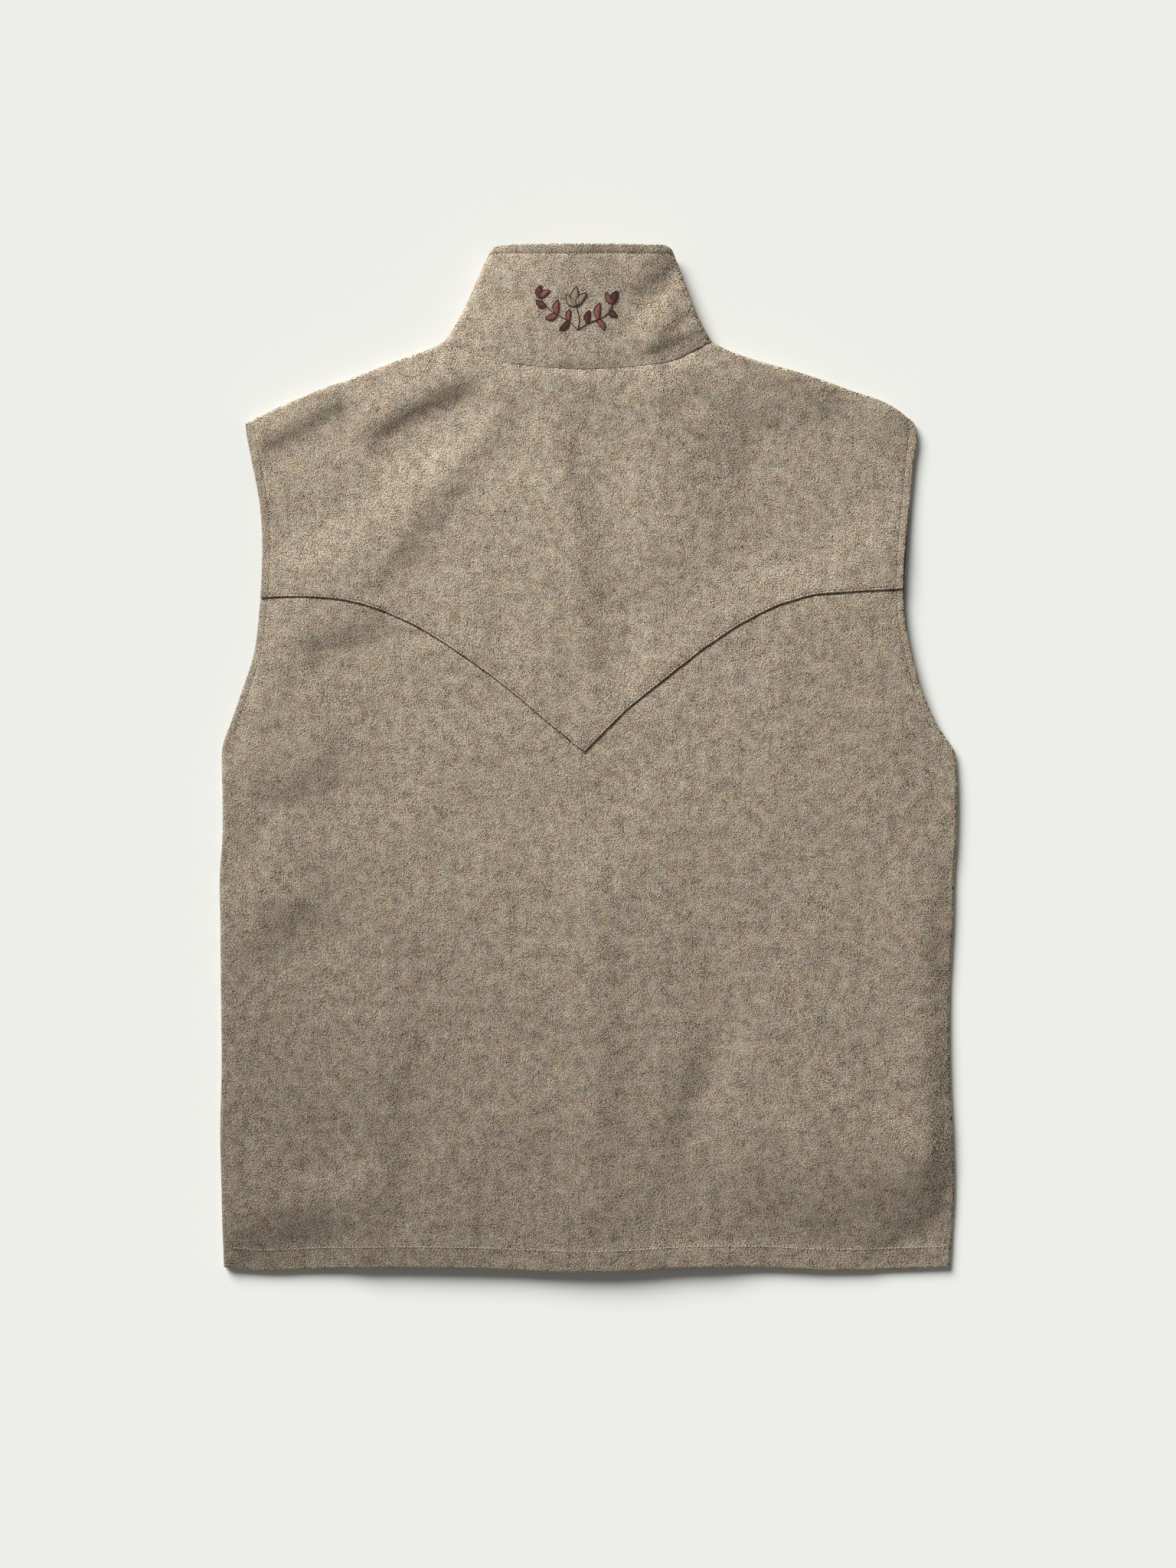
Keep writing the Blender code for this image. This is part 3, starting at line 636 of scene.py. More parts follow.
def makeShell(name, outer, material, slot, node, rounds=softEdges, thickness=wall, flip=False):
    # A closed wall of cloth inside its outer face. rounds says how far in its four edges are rounded, and 0
    # leaves an edge square.
    thin = np.ones(outer.shape[:2])
    for axis, ends in ((0, rounds[:2]), (1, rounds[2:])):
        lengths = lengthsAlong(outer, axis)
        last = np.take(lengths, [-1], axis)
        for away, reach in ((lengths, ends[0]), (last - lengths, ends[1])):
            share = np.clip(away / reach, 0, 1) if reach else 1
            thin = np.minimum(thin, np.sqrt(1 - (1 - share) ** 2))
    thick = thickness * np.maximum(thin, vest["edgeThin"])[..., None]
    normal = normalsOf(outer) * (-1 if flip else 1)
    outer = outer - normal * (thickness - thick) / 2
    inner = outer - normal * thick
    inner[..., 2] = np.maximum(inner[..., 2], 0)  # nothing reaches below the surface it lies on
    rows, columns = outer.shape[:2]
    number = np.arange(rows * columns).reshape(rows, columns)
    corners = number[:-1, :-1], number[:-1, 1:], number[1:, 1:], number[1:, :-1]
    face = np.stack(corners, -1).reshape(-1, 4)
    back = face[:, ::-1] + rows * columns
    rim = np.concatenate([number[0, :], number[1:, -1], number[-1, -2::-1], number[-2:0:-1, 0]])
    after = np.roll(rim, -1)
    side = np.stack([after, rim, rim + rows * columns, after + rows * columns], -1)
    faces = np.concatenate([face, back, side])
    if flip:
        faces = faces[:, ::-1]
    mesh = bpy.data.meshes.new(name)
    points = np.concatenate([outer.reshape(-1, 3), inner.reshape(-1, 3)])
    mesh.from_pydata(points.tolist(), [], faces.tolist())
    return finishPiece(name, mesh, material, slot, node)


def finishPiece(name, mesh, material, slot, *nodes):
    mesh.materials.append(material)
    mesh.shade_smooth()
    piece = bpy.data.objects.new(name, mesh)
    bpy.context.scene.collection.objects.link(piece)
    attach(piece, "root")
    if nodes:
        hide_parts(*nodes)
    return piece


# Threads
def makeThreads(name, paths, ups, radii, material, sides=6):
    # One closed round thread along each path. radii has a value for each point of a path.
    along = np.gradient(paths, axis=1)
    across = unit(np.cross(along, ups))
    over = unit(np.cross(across, along))
    angle = np.linspace(0, 2 * np.pi, sides, endpoint=False)[:, None]
    ring = np.cos(angle) * across[:, :, None] + np.sin(angle) * over[:, :, None]
    points = paths[:, :, None] + ring * np.asarray(radii)[:, None, None]
    many, long = paths.shape[:2]
    number = np.arange(many * long * sides).reshape(many, long, sides)
    after = np.roll(number, -1, axis=2)
    quads = np.stack([number[:, :-1], after[:, :-1], after[:, 1:], number[:, 1:]], -1)
    ends = np.concatenate([number[:, 0, ::-1], number[:, -1]])
    mesh = bpy.data.meshes.new(name)
    mesh.from_pydata(points.reshape(-1, 3).tolist(), [], quads.reshape(-1, 4).tolist() + ends.tolist())
    return finishPiece(name, mesh, material, "thread")


stitchBend = np.array([-0.5, -0.32, 0, 0.32, 0.5])      # five points along a stitch
stitchDip = np.array([-0.9, 0.05, 0.3, 0.05, -0.9])     # its ends go into the cloth
stitchRound = np.array([0.55, 0.95, 1, 0.95, 0.55])     # and it is thinner there
stitchUneven = 0.1  # share of the pitch and of the thickness by which a stitch strays


def stitchesAlong(path, ups, look):  # each stitch's points, and the cloth's normals there
    steps = np.concatenate([[0], np.cumsum(np.linalg.norm(np.diff(path, axis=0), axis=1))])
    middles = np.arange(look["pitch"], steps[-1] - look["pitch"] / 2, look["pitch"])
    uneven = np.random.default_rng(len(middles)).uniform(-1, 1, (2, len(middles)))
    middles = middles + uneven[0] * stitchUneven * look["pitch"]
    at = middles[:, None] + look["long"] * stitchBend
    place, up = (np.stack([np.interp(at, steps, a[:, i]) for i in range(3)], -1) for a in (path, ups))
    lift = look["thick"] * (look["proud"] + stitchDip + stitchUneven * uneven[1][:, None])
    return place + up * lift[..., None], up


def sew(name, lines, look, material):  # lines holds pairs of a line on the cloth and its normals
    made = [stitchesAlong(path, ups, look) for path, ups in lines]
    paths, ups = (np.concatenate(part) for part in zip(*made))
    return makeThreads(name, paths, ups, look["thick"] / 2 * stitchRound, material)


# Lower back
backBody = {
    "cell": 3.0 * mm,
    "belowYoke": [d * mm for d in (3.4, 2.2, 1.4, 0.8, 0.3, 0)],
    "yokeRows": [d * mm for d in (0.6, 1.4, 4, 8, 11, 12)],
}


def yokeRow(u, above):  # a row of places that follows the yoke's lower edge, this far above it
    leftY, rightY = yokeLeftY + above, yokeRightY + above
    edgeX = mix(leftEdge(yokeLeftY), rightEdge(yokeRightY), u)
    return mix(leftEdge(leftY), rightEdge(rightY), u), yokeY(edgeX) + above


def backBodyGrid():
    columns = columnsFor(2 * vest["halfWidth"], backBody["cell"])

    def bottom(u):
        x = mix(outline["left"][0], outline["right"][0], u)
        return x, hemY(x)

    def top(u):
        return yokeRow(u, 0)

    def left(v):
        y = mix(hemSideY, yokeLeftY, v)
        return leftEdge(y), y

    def right(v):
        y = mix(hemSideY, yokeRightY, v)
        return rightEdge(y), y

    low, high = placesInTurn(len(columns))
    length = top(columns)[1] - bottom(columns)[1]
    rows = [d / length for d in besideHem]
    tall = yokeLeftY - hemSideY
    first = besideHem[-1] / tall
    last = 1 - backBody["belowYoke"][0] / tall
    shares = between(first, last, backBody["cell"] / tall)
    rows += [mix(rows[len(besideHem) - 1], 1, (s - first) / (1 - first)) for s in shares]
    rows += [1 - d / length for d in backBody["belowYoke"]]
    inwards = (turnIn - turnFlat) / (2 * vest["halfWidth"])
    grid = []
    for v in rows:
        turnLeft = sideTurn(mix(hemSideY, yokeLeftY, v[0]))
        turnRight = sideTurn(mix(hemSideY, yokeRightY, v[-1]))
        u = columns + inwards[low] * turnLeft - inwards[high] * turnRight
        x, y = coons(bottom, top, left, right, u, v)
        z = backHeight(x, y)
        edgeLeft, edgeRight = z[len(turnRise) - 1], z[-len(turnRise)]
        z = drop(z, edgeLeft, turnLeft * (1 - turnRise[low]))
        z = drop(z, edgeRight, turnRight * (1 - turnRise[high]))
        grid.append(np.stack([x, y, z], -1))
    for above in backBody["yokeRows"]:
        x, y = yokeRow(columns, above)
        grid.append(np.stack([x, y, backHeight(x, y)], -1))
    return np.array(grid)


# Back yoke
yoke = {
    "cell": 2.7 * mm,
    "edgeRows": [d * mm for d in (0, 0.3, 0.7, 1.1, 1.5, 1.9, 2.3, 2.9, 3.8, 5.5, 8, 10.5)],
    "stitchRow": 5,
    "lap": 12 * mm,
    "wall": 1.15 * mm,
    "gap": 0.15 * mm,         # over the lower back
    "ease": 42 * mm,          # above the lap it comes down to the back's height over this length
    "edgeRound": 0.6 * mm,
    "edgeLift": 0.1 * mm,     # its folded edge stands up this far
    "liftOver": 2 * mm,
    "waver": 0.3 * mm,        # and strays this far
    "waverSize": 7 * mm,
    "waverOver": 6 * mm,
}


def yokeColumns():
    span = tipRight[0] - tipLeft[0]
    step = yoke["cell"] / span
    edge = np.array(edgeSteps) / span
    neckLeft, neckRight = (neckLeftX - tipLeft[0]) / span, (neckRightX - tipLeft[0]) / span
    neckIn = neckTurn / span
    low, high = leftEdge(yokeLeftY), rightEdge(yokeRightY)
    point = (yokeRight["x"][0] - low) / (high - low)
    return np.array(
        list(edge)
        + between(edge[-1], neckLeft, step)
        + list(neckLeft + neckIn)
        + between(neckLeft + neckIn[-1], point, step)
        + [point]
        + between(point, neckRight - neckIn[-1], step)
        + list(neckRight - neckIn[::-1])
        + between(neckRight, 1 - edge[-1], step)
        + list(1 - edge[::-1])
    )


def neckColumnsX():  # where the yoke's columns meet the neck seam
    x = mix(tipLeft[0], tipRight[0], yokeColumns())
    return x[(x > neckLeftX - nearly) & (x < neckRightX + nearly)]


def neckTurnShare(x):  # how far a top point is turned down: 1 on the shoulders, 0 along the neck
    inside = np.minimum(x - neckLeftX, neckRightX - x)
    inside = np.clip(inside / neckTurn[-1], 0, 1)
    return 1 - np.sqrt(1 - (1 - inside) ** 2)


def yokeGrid():
    columns = yokeColumns()
    lowX, lowY = yokeRow(columns, 0)
    stretch = np.sqrt(1 + np.gradient(lowY, lowX) ** 2)  # keeps the rows even, seen square to the edge
    point = np.argmin(lowY)
    stretch[point] = (stretch[point - 1] + stretch[point + 1]) / 2

    def bottom(u):
        return yokeRow(u, yoke["lap"] * np.interp(u, columns, stretch))

    def top(u):
        x = mix(tipLeft[0], tipRight[0], u)
        return x, topY(x)

    def left(v):
        y = mix(bottom(0.0)[1], tipLeft[1], v)
        return leftEdge(y), y

    def right(v):
        y = mix(bottom(1.0)[1], tipRight[1], v)
        return rightEdge(y), y

    grid = []
    for above in yoke["edgeRows"] + [yoke["lap"]]:
        x, y = yokeRow(columns, above * stretch)
        waver = yoke["waver"] * ripple(x, 0 * x, yoke["waverSize"], 30)
        y = y + waver * (1 - ease(above / yoke["waverOver"]))
        lift = yoke["edgeLift"] * (1 - ease(above / yoke["liftOver"]))
        grid.append(np.stack([x, y, backHeight(x, y) + yoke["wall"] + yoke["gap"] + lift], -1))
    topX, topEdge = top(columns)
    length = topEdge - bottom(columns)[1]
    turn = neckTurnShare(topX)
    edge = backHeight(topX, topEdge)
    rows = [(share, None) for share in between(0, 1, yoke["cell"] / np.median(length))]
    rows += [(1, k) for k in range(len(turnRise) - 1, -1, -1)]
    for share, k in rows:
        if k is None:
            v = share * (1 - vest["roll"] / length)
            down = 0
        else:
            v = 1 - mix(turnFlat[k], turnIn[k], turn) / length
            down = turn * (1 - turnRise[k])
        x, y = coons(bottom, top, left, right, columns, v)
        settled = ease((y - yokeY(x) - yoke["lap"]) / yoke["ease"])
        lift = (yoke["wall"] + yoke["gap"]) * (1 - settled)
        grid.append(np.stack([x, y, drop(backHeight(x, y) + lift, edge, down)], -1))
    return np.array(grid)


# Fronts, under the back
fronts = {
    "cell": 6 * mm,
    "neckDrop": 82 * mm,
    "neckRound": 2.5,
    "neckSteep": 0.6,
    "inset": 5 * mm,          # their armholes are cut this much deeper
    "insetFade": 72 * mm,
    "lap": 25 * mm,           # the left front lies this far under the right one here
    "lapSlope": 12 * mm,
    "lapClear": 1 * mm,
    "neckSteps": 40,
    "shoulderSteps": 60,
}


def frontEdgeX(side):
    return middleX - side * fronts["lap"] / 2


def frontNeck(side):  # the front neckline, from the side of the neck to the front edge
    base = neckLeftX if side < 0 else neckRightX
    end = frontEdgeX(side)
    x = base - side * neckTurn
    x = np.concatenate([x, np.linspace(x[-1], end, fronts["neckSteps"])[1:]])
    out = np.clip(np.abs((x - middleX) / (base - middleX)), 0, 1)
    return x, neckSideY - fronts["neckDrop"] * (1 - out ** fronts["neckRound"]) ** fronts["neckSteep"]


def neckFrontTurn(count):  # how far each point of it is turned up
    turn = np.zeros(count)
    turn[: len(turnAngles)] = 1 - np.sin(turnAngles)
    return turn


def lapHeight(x, side):  # the right front rises over the left one's edge
    clear = middleX + fronts["lap"] / 2 + fronts["lapClear"]
    return (side > 0) * (wall + vest["lapGap"]) * (1 - ease((x - clear) / fronts["lapSlope"]))


def frontGrid(side):
    tip = tipLeft if side < 0 else tipRight
    edge = leftEdge if side < 0 else rightEdge
    hemX = outline["left" if side < 0 else "right"][0]
    end = frontEdgeX(side)
    width = abs(end - tip[0])
    neckX, neckDown = frontNeck(side)
    shoulderX = np.linspace(tip[0], neckX[0], fronts["shoulderSteps"])[:-1]
    alongX = np.concatenate([shoulderX, neckX])
    alongY = np.concatenate([topY(shoulderX), neckDown])
    along = np.concatenate([[0], np.cumsum(np.hypot(np.diff(alongX), np.diff(alongY)))])
    along /= along[-1]

    def top(u):
        return np.interp(u, along, alongX), np.interp(u, along, alongY)

    flat = list(np.array(edgeSteps) / width)
    neck = along[len(shoulderX) :]
    shoulder = flat + between(flat[-1], neck[0], fronts["cell"] / width)
    columns = np.array(shoulder + list(neck))
    topX, topEdge = top(columns)
    topTurn = np.concatenate([np.ones(len(shoulder)), neckFrontTurn(len(neckX))])
    topSeam = backHeight(topX, topEdge)
    topSeam[len(shoulder) :] = backHeight(neckX[0], neckSideY)

    def bottom(u):
        x = mix(hemX, end, u)
        return x, hemY(x)

    def outer(v):
        y = mix(hemSideY, tip[1], v)
        deeper = ease((y - underarmY) / vest["seamFade"]) * ease((tip[1] - y) / fronts["insetFade"])
        return edge(y) - side * fronts["inset"] * deeper, y

    def inner(v):
        return end + 0 * v, mix(bottom(1.0)[1], neckDown[-1], v)

    length = topEdge - bottom(columns)[1]
    low, _ = placesInTurn(len(columns))
    tall = tip[1] - hemSideY
    first = besideHem[-1] / tall
    rows = [(d / length, None) for d in besideHem]
    last = 1 - 2 * vest["roll"] / tall
    for share in between(first, last, fronts["cell"] / tall):
        rows.append((mix(rows[len(besideHem) - 1][0], 1, (share - first) / (1 - first)), None))
    rows += [(None, k) for k in range(len(turnRise) - 1, -1, -1)]
    grid = []
    for v, k in rows:
        if k is None:
            rowY = mix(hemSideY, tip[1], v[0])
            turn = sideTurn(rowY)
            u = columns + (turnIn - turnFlat)[low] / width * turn
            seam = (backHeight(edge(rowY), rowY) - vest["seamGap"]) / 2
            up = turn * (1 - turnRise[low]) * seam
        else:
            u = columns
            v = 1 - mix(turnFlat[k], turnIn[k], topTurn) / length
            up = topTurn * (1 - turnRise[k]) * (topSeam - vest["seamGap"]) / 2
        x, y = coons(bottom, top, outer, inner, u, v)
        grid.append(np.stack([x, y, lapHeight(x, side) + up], -1))
    grid = np.array(grid)
    return grid if side < 0 else grid[:, ::-1]


# Standing collar, a ring of cloth closed by the lapped fronts
collar = {
    "cell": 2.3 * mm,
    "topY": 390 * mm,
    "corner": 6 * mm,
    "roll": 8 * mm,
    "sideRise": 15 * mm,
    "rise": 25 * mm,
    "fullness": 0.8,
    "waist": 2.2 * mm,
    "waistShare": 6.75,
    "leftX": -75 * mm,
    "rightX": 64.5 * mm,
    "frontDip": 61 * mm,
    "dipRound": 1.6,
    "band": 7 * mm,           # from its top edge down to its topstitching
    "bandRise": 0.9 * mm,     # it stands up this much more
    "foldsOver": 0.2,         # its folds deepen over this share of its height
    "seamGap": 0.08 * mm,
    "seamRows": [d * mm for d in (0, 0.3, 0.7, 1.2, 2, 3.2)],
    "topRows": [d * mm for d in (9.6, 8.4, 7.6, 7, 6.4, 5.6, 4.4, 3, 2, 1.2, 0.7, 0.3, 0)],
}


def collarHalfFront(side):
    x, y = frontNeck(side)
    turn = neckFrontTurn(len(x))
    low = np.stack([x, y, turn * backHeight(x[0], neckSideY) / 2 + lapHeight(x, side)], -1)
    base = collar["leftX"] if side < 0 else collar["rightX"]
    topX = base - side * collar["roll"] * (1 - np.cos(turnAngles))
    topX = np.concatenate([topX, np.linspace(topX[-1], frontEdgeX(side), fronts["neckSteps"])[1:]])
    out = np.clip(np.abs((topX - middleX) / (base - middleX)), 0, 1)
    dip = collar["frontDip"] * (1 - out ** collar["dipRound"])
    topZ = turn * collar["sideRise"] / 2 + lapHeight(topX, side)
    return low, np.stack([topX, collar["topY"] - collar["corner"] - dip, topZ], -1)


def collarBack():
    x = neckColumnsX()
    turn = neckTurnShare(x)
    y = neckY(x)
    height = backHeight(x, y)
    low = np.stack([x, y, height - turn * height / 2], -1)
    inwards = collar["roll"] * (1 - np.cos(turnAngles))
    reach = neckTurn[-1]
    share = np.clip((x - neckLeftX - reach) / (neckRightX - neckLeftX - 2 * reach), 0, 1)
    topX = mix(collar["leftX"] + collar["roll"], collar["rightX"] - collar["roll"], share)
    topX[: len(inwards)] = collar["leftX"] + inwards
    topX[-len(inwards) :] = collar["rightX"] - inwards[::-1]
    crown = mix(collar["sideRise"], collar["rise"], np.sin(np.pi * share) ** collar["fullness"])
    high = np.stack([topX, collar["topY"] - collar["corner"] * turn, crown - turn * crown / 2], -1)
    return low, high


def collarGrid():
    left, back, right = collarHalfFront(-1), collarBack(), collarHalfFront(1)
    low, high = (np.concatenate([left[i][:0:-1], back[i], right[i][1:]]) for i in (0, 1))
    frontTurn = neckFrontTurn(len(left[0]))
    backTurn = neckTurnShare(back[0][:, 0])
    low[:, 1] += collar["seamGap"]
    free = np.zeros(len(low))
    first = len(frontTurn) - 1
    free[first : first + len(backTurn)] = 1 - backTurn
    length = np.linalg.norm(high - low, axis=1)
    rows = [d / length for d in collar["seamRows"]]
    top = [1 - d / length for d in collar["topRows"]]
    step = collar["cell"] / np.median(length)
    rows += [mix(rows[-1], top[0], s) for s in between(0, 1, step)][1:] + top
    grid = []
    for v in rows:
        share = v[:, None]
        ring = mix(low, high, share)
        half = mix(neckRightX - neckLeftX, collar["rightX"] - collar["leftX"], v) / 2
        waist = collar["waist"] / half * collar["waistShare"] * v * (1 - v) ** 2
        ring[:, 0] -= (ring[:, 0] - middleX) * waist
        lift = foldHeight(ring[:, 0], ring[:, 1], collarFolds)
        lift = lift + ruffled(ring[:, 0], ring[:, 1], 20)
        band = np.clip(1 - (1 - v) * length / collar["band"], 0, 1) * collar["bandRise"]
        ring[:, 2] += free * (ease(v / collar["foldsOver"]) * lift + band)
        grid.append(ring)
    return np.array(grid), free


# Lining edge that peeps out along the right armhole
lining = {
    "lowY": 104 * mm,
    "highY": 194 * mm,
    "wide": 12 * mm,
    "wall": 1 * mm,
    "shows": 1.0 * mm,        # in the middle
    "uneven": 0.12 * mm,
    "unevenSize": 6 * mm,
    "rows": 60,
    "columns": 14,
}


def liningGrid():
    grid = []
    middle = (lining["lowY"] + lining["highY"]) / 2
    for y in np.linspace(lining["lowY"], lining["highY"], lining["rows"]):
        shows = lining["shows"] * (1 - ((y - middle) / (lining["highY"] - middle)) ** 2)
        shows = shows + lining["uneven"] * ripple(np.array(y), np.array(0.0), lining["unevenSize"], 5)
        x = rightEdge(y) + shows - np.linspace(lining["wide"], 0, lining["columns"])
        under = backHeight(x, y + 0 * x) - wall - vest["lapGap"]
        grid.append(np.stack([x, y + 0 * x, under], -1))
    return np.array(grid)


print("stage: helpers are ready")
wool = woolMaterial("wool", woolLook)
liningCloth = threadMaterial("lining", linear(30, 30, 34), roughness=0.45, sheen=0.1)

body = backBodyGrid()
beside = ease((body[..., 1] - underarmY) / vest["valleyFade"])
body = pressIn(body, 0, hemStitchRow, *valleys["hem"], seed=11)
body = pressIn(body, 0, -1 - len(backBody["yokeRows"]), *valleys["underYoke"], seed=10)
body = pressIn(body, 1, stitchColumn, *valleys["armhole"], seed=12, where=beside)
body = pressIn(body, 1, -1 - stitchColumn, *valleys["armhole"], seed=13, where=beside)
pieces = [makeShell("back_body_cloth", body, wool, "wool", "back_body")]
print("stage: the lower back is made")

top = yokeGrid()
top = pressIn(top, 0, yoke["stitchRow"], *valleys["yoke"], seed=14)
top = pressIn(top, 1, stitchColumn, *valleys["armhole"], seed=15)
top = pressIn(top, 1, -1 - stitchColumn, *valleys["armhole"], seed=16)
inNeck = (1 - neckTurnShare(top[-1, :, 0])) * drawnIn(top[-1, :, 0])
for valley in ("neck", "neckLine"):
    top = pressIn(top, 0, -1, *valleys[valley], seed=18, where=inNeck)
yokeRounds = (yoke["edgeRound"], 0, *softEdges[2:])
pieces.append(makeShell("back_yoke_cloth", top, wool, "wool", "back_yoke", yokeRounds, yoke["wall"]))
print("stage: the yoke is made")

ring, ringBack = collarGrid()
topStitch = len(ring) - 1 - collar["topRows"][::-1].index(collar["band"])
ring = pressIn(ring, 0, topStitch, *valleys["collarBand"], seed=17)
inNeck = ringBack * drawnIn(ring[0, :, 0])
for valley in ("neck", "neckLine"):
    ring = pressIn(ring, 0, 0, *valleys[valley], seed=19, where=inNeck)
collarCloth = makeShell("collar_cloth", ring, wool, "wool", "collar", (0, *softEdges[1:]))
pieces.append(collarCloth)
print("stage: the collar is made")

for side, name in ((-1, "left"), (1, "right")):
    front = makeShell(f"front_{name}_cloth", frontGrid(side), wool, "wool", f"front_{name}", flip=True)
    pieces.append(front)
liningEdge = makeShell(
    "armhole_lining_edge",
    liningGrid(),
    liningCloth,
    "lining",
    "armhole_lining_right",
    thickness=lining["wall"],
)
pieces.append(liningEdge)
print("stage: the fronts and the lining are made")

onFronts = ["front_left_cloth", "front_right_cloth"]
cuts = {  # each piece's width, length and area as it was cut, in metres, and what it lies on
    "back_body_cloth": (0.562, 0.526, 0.269, onFronts),
    "back_yoke_cloth": (0.511, 0.312, 0.103, ["back_body_cloth", *onFronts]),
    "collar_cloth": (0.480, 0.088, 0.037, onFronts),
    "front_left_cloth": (0.288, 0.707, 0.183, []),
    "front_right_cloth": (0.298, 0.707, 0.186, ["front_left_cloth"]),
    "armhole_lining_edge": (0.012, 0.090, None, ["front_right_cloth"]),
}
for piece in pieces:
    width, length, area, below = cuts[piece.name]
    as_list(below)


# Topstitching
seams = {
    "hem": {"pitch": 2.6 * mm, "long": 1.7 * mm, "thick": 0.9 * mm, "proud": -0.1},
    "fine": {"pitch": 2.6 * mm, "long": 2.0 * mm, "thick": 0.45 * mm, "proud": 0.1},  # everywhere else
}
paleThread = threadMaterial("pale_thread", linear(224, 213, 192), roughness=0.6, sheen=0.2)
woolThread = threadMaterial("wool_thread", linear(96, 84, 68), roughness=0.7, sheen=0.2)


def lineOf(grid, rows, columns):  # a line of the grid with its normals
    return grid[rows, columns], normalsOf(grid)[rows, columns]


inHem = slice(stitchColumn, -stitchColumn)
aboveUnderarm = np.argmax(body[:, stitchColumn, 1] > underarmY + vest["stitchesFrom"])
besideArm = slice(aboveUnderarm, -len(backBody["yokeRows"]))
onYoke = slice(2, -len(turnRise))
armholes = []
for column in (stitchColumn, -1 - stitchColumn):
    armholes += [lineOf(body, besideArm, column), lineOf(top, onYoke, column)]
sew("hem_stitches", [lineOf(body, hemStitchRow, inHem)], seams["hem"], paleThread)
sew("armhole_stitches", armholes, seams["fine"], woolThread)
sew("yoke_stitches", [lineOf(top, yoke["stitchRow"], slice(4, -4))], seams["fine"], woolThread)
sew("collar_stitches", [lineOf(ring, topStitch, slice(2, -2))], seams["fine"], woolThread)
print("stage: the seams are stitched")


# Embroidered garland at the back of the collar
garland = {
    "middle": (-9 * mm, 342 * mm),
    "pitch": 0.40 * mm,
    "thick": 0.42 * mm,
    "rise": 0.40 * mm,        # its padded middle
    "slant": 0.5,             # of the satin threads, as a share of the leaf's width
    "bend": 0.10,             # of each leaf, as a share of its length
    "blunt": (0.85, 0.8),     # powers: under 1, a leaf is widest below its middle and has rounder ends
    "filled": (0.06, 0.94),   # from here to here along a leaf, as shares
    "clear": 0.05 * mm,       # of the satin threads over the cloth
    "outline": {"pitch": 1.1 * mm, "long": 1.9 * mm, "thick": 0.55 * mm, "proud": 0.75},
    "stemSteps": 40,
    "leafSteps": 24,
    "above": 100 * mm,        # places on the cloth are looked up from this height
    "cream": linear(178, 160, 134),
    "maroon": linear(106, 56, 57),
    "brick": linear(158, 103, 97),
    "dark": linear(60, 42, 36),
}
satinRound = np.array([0.6, 0.9, 1, 1, 1, 0.9, 0.6])  # each satin thread is thinner at its ends
stemLines = (
    table("x y", (1, -17), (-6, -10), (-15, -5), (-23, 1), (-28, 9)),
    table("x y", (1, -17), (8, -12), (16, -9), (24, -4), (28, 4)),
    table("x y", (1, -17), (2, -9), (0, 1)),
)
creamLeaves = table("x1 y1 x2 y2 wide", (0, 1, -8, 10, 5.5), (0, 1, 0, 16, 6.5), (0, 1, 8, 11, 5.5))
maroonLeaves = table(
    "x1 y1 x2 y2 wide",
    (-23, 1, -31, 6, 5.0),
    (-28, 7, -27, 17, 5.5),
    (-6, -10, -13, -17, 4.5),
    (8, -12, 10, -2, 4.8),
    (24, -4, 31, -7, 4.5),
    (28, 3, 31, 13, 5.5),
)
brickLeaves = table(
    "x1 y1 x2 y2 wide",
    (-15, -5, -24, -8, 4.5),
    (-15, -5, -14, 6, 5.0),
    (-6, -10, -5, -1, 4.2),
    (-28, 7, -20, 13, 4.5),
    (16, -9, 21, -17, 4.5),
    (16, -9, 18, 4, 5.0),
    (28, 3, 22, 12, 4.5),
)


def onCloth(x, y, tree, lift):  # places above the cloth, and its normals
    made = []
    centreX, centreY = garland["middle"]
    for px, py, rise in zip(*(a.ravel() for a in np.broadcast_arrays(x, y, lift))):
        start = (px + centreX, py + centreY, garland["above"])
        place, normal = tree.ray_cast(start, (0, 0, -1))[:2]
        made.append((*(place + normal * rise), *normal))
    made = np.array(made).reshape(*np.broadcast(x, y, lift).shape, 6)
    return made[..., :3], made[..., 3:]


def leafPlace(row, t, side):  # t runs from its base to its tip, side from -1 to 1 across it
    x1, y1, x2, y2, wide = row
    long = np.hypot(x2 - x1, y2 - y1)
    early, full = garland["blunt"]
    out = wide / 2 * np.sin(np.pi * np.clip(t, 0, 1) ** early) ** full * side
    out = out + garland["bend"] * long * np.sin(np.pi * t)
    across = np.array([y1 - y2, x2 - x1]) / long
    return mix(x1, x2, t) + across[0] * out, mix(y1, y2, t) + across[1] * out


def satin(row, tree):  # the threads that fill a leaf
    x1, y1, x2, y2, wide = row
    long = np.hypot(x2 - x1, y2 - y1)
    count = int(long / garland["pitch"])
    side = np.linspace(-1, 1, len(satinRound))
    t = np.linspace(*garland["filled"], count)[:, None]
    t = np.clip(t + side * garland["slant"] * wide / 2 / long * np.sin(np.pi * t), 0, 1)
    rise = garland["rise"] * np.sqrt(1 - side**2) * np.sin(np.pi * t) ** 0.5
    return onCloth(*leafPlace(row, t, side), tree, rise + garland["clear"])


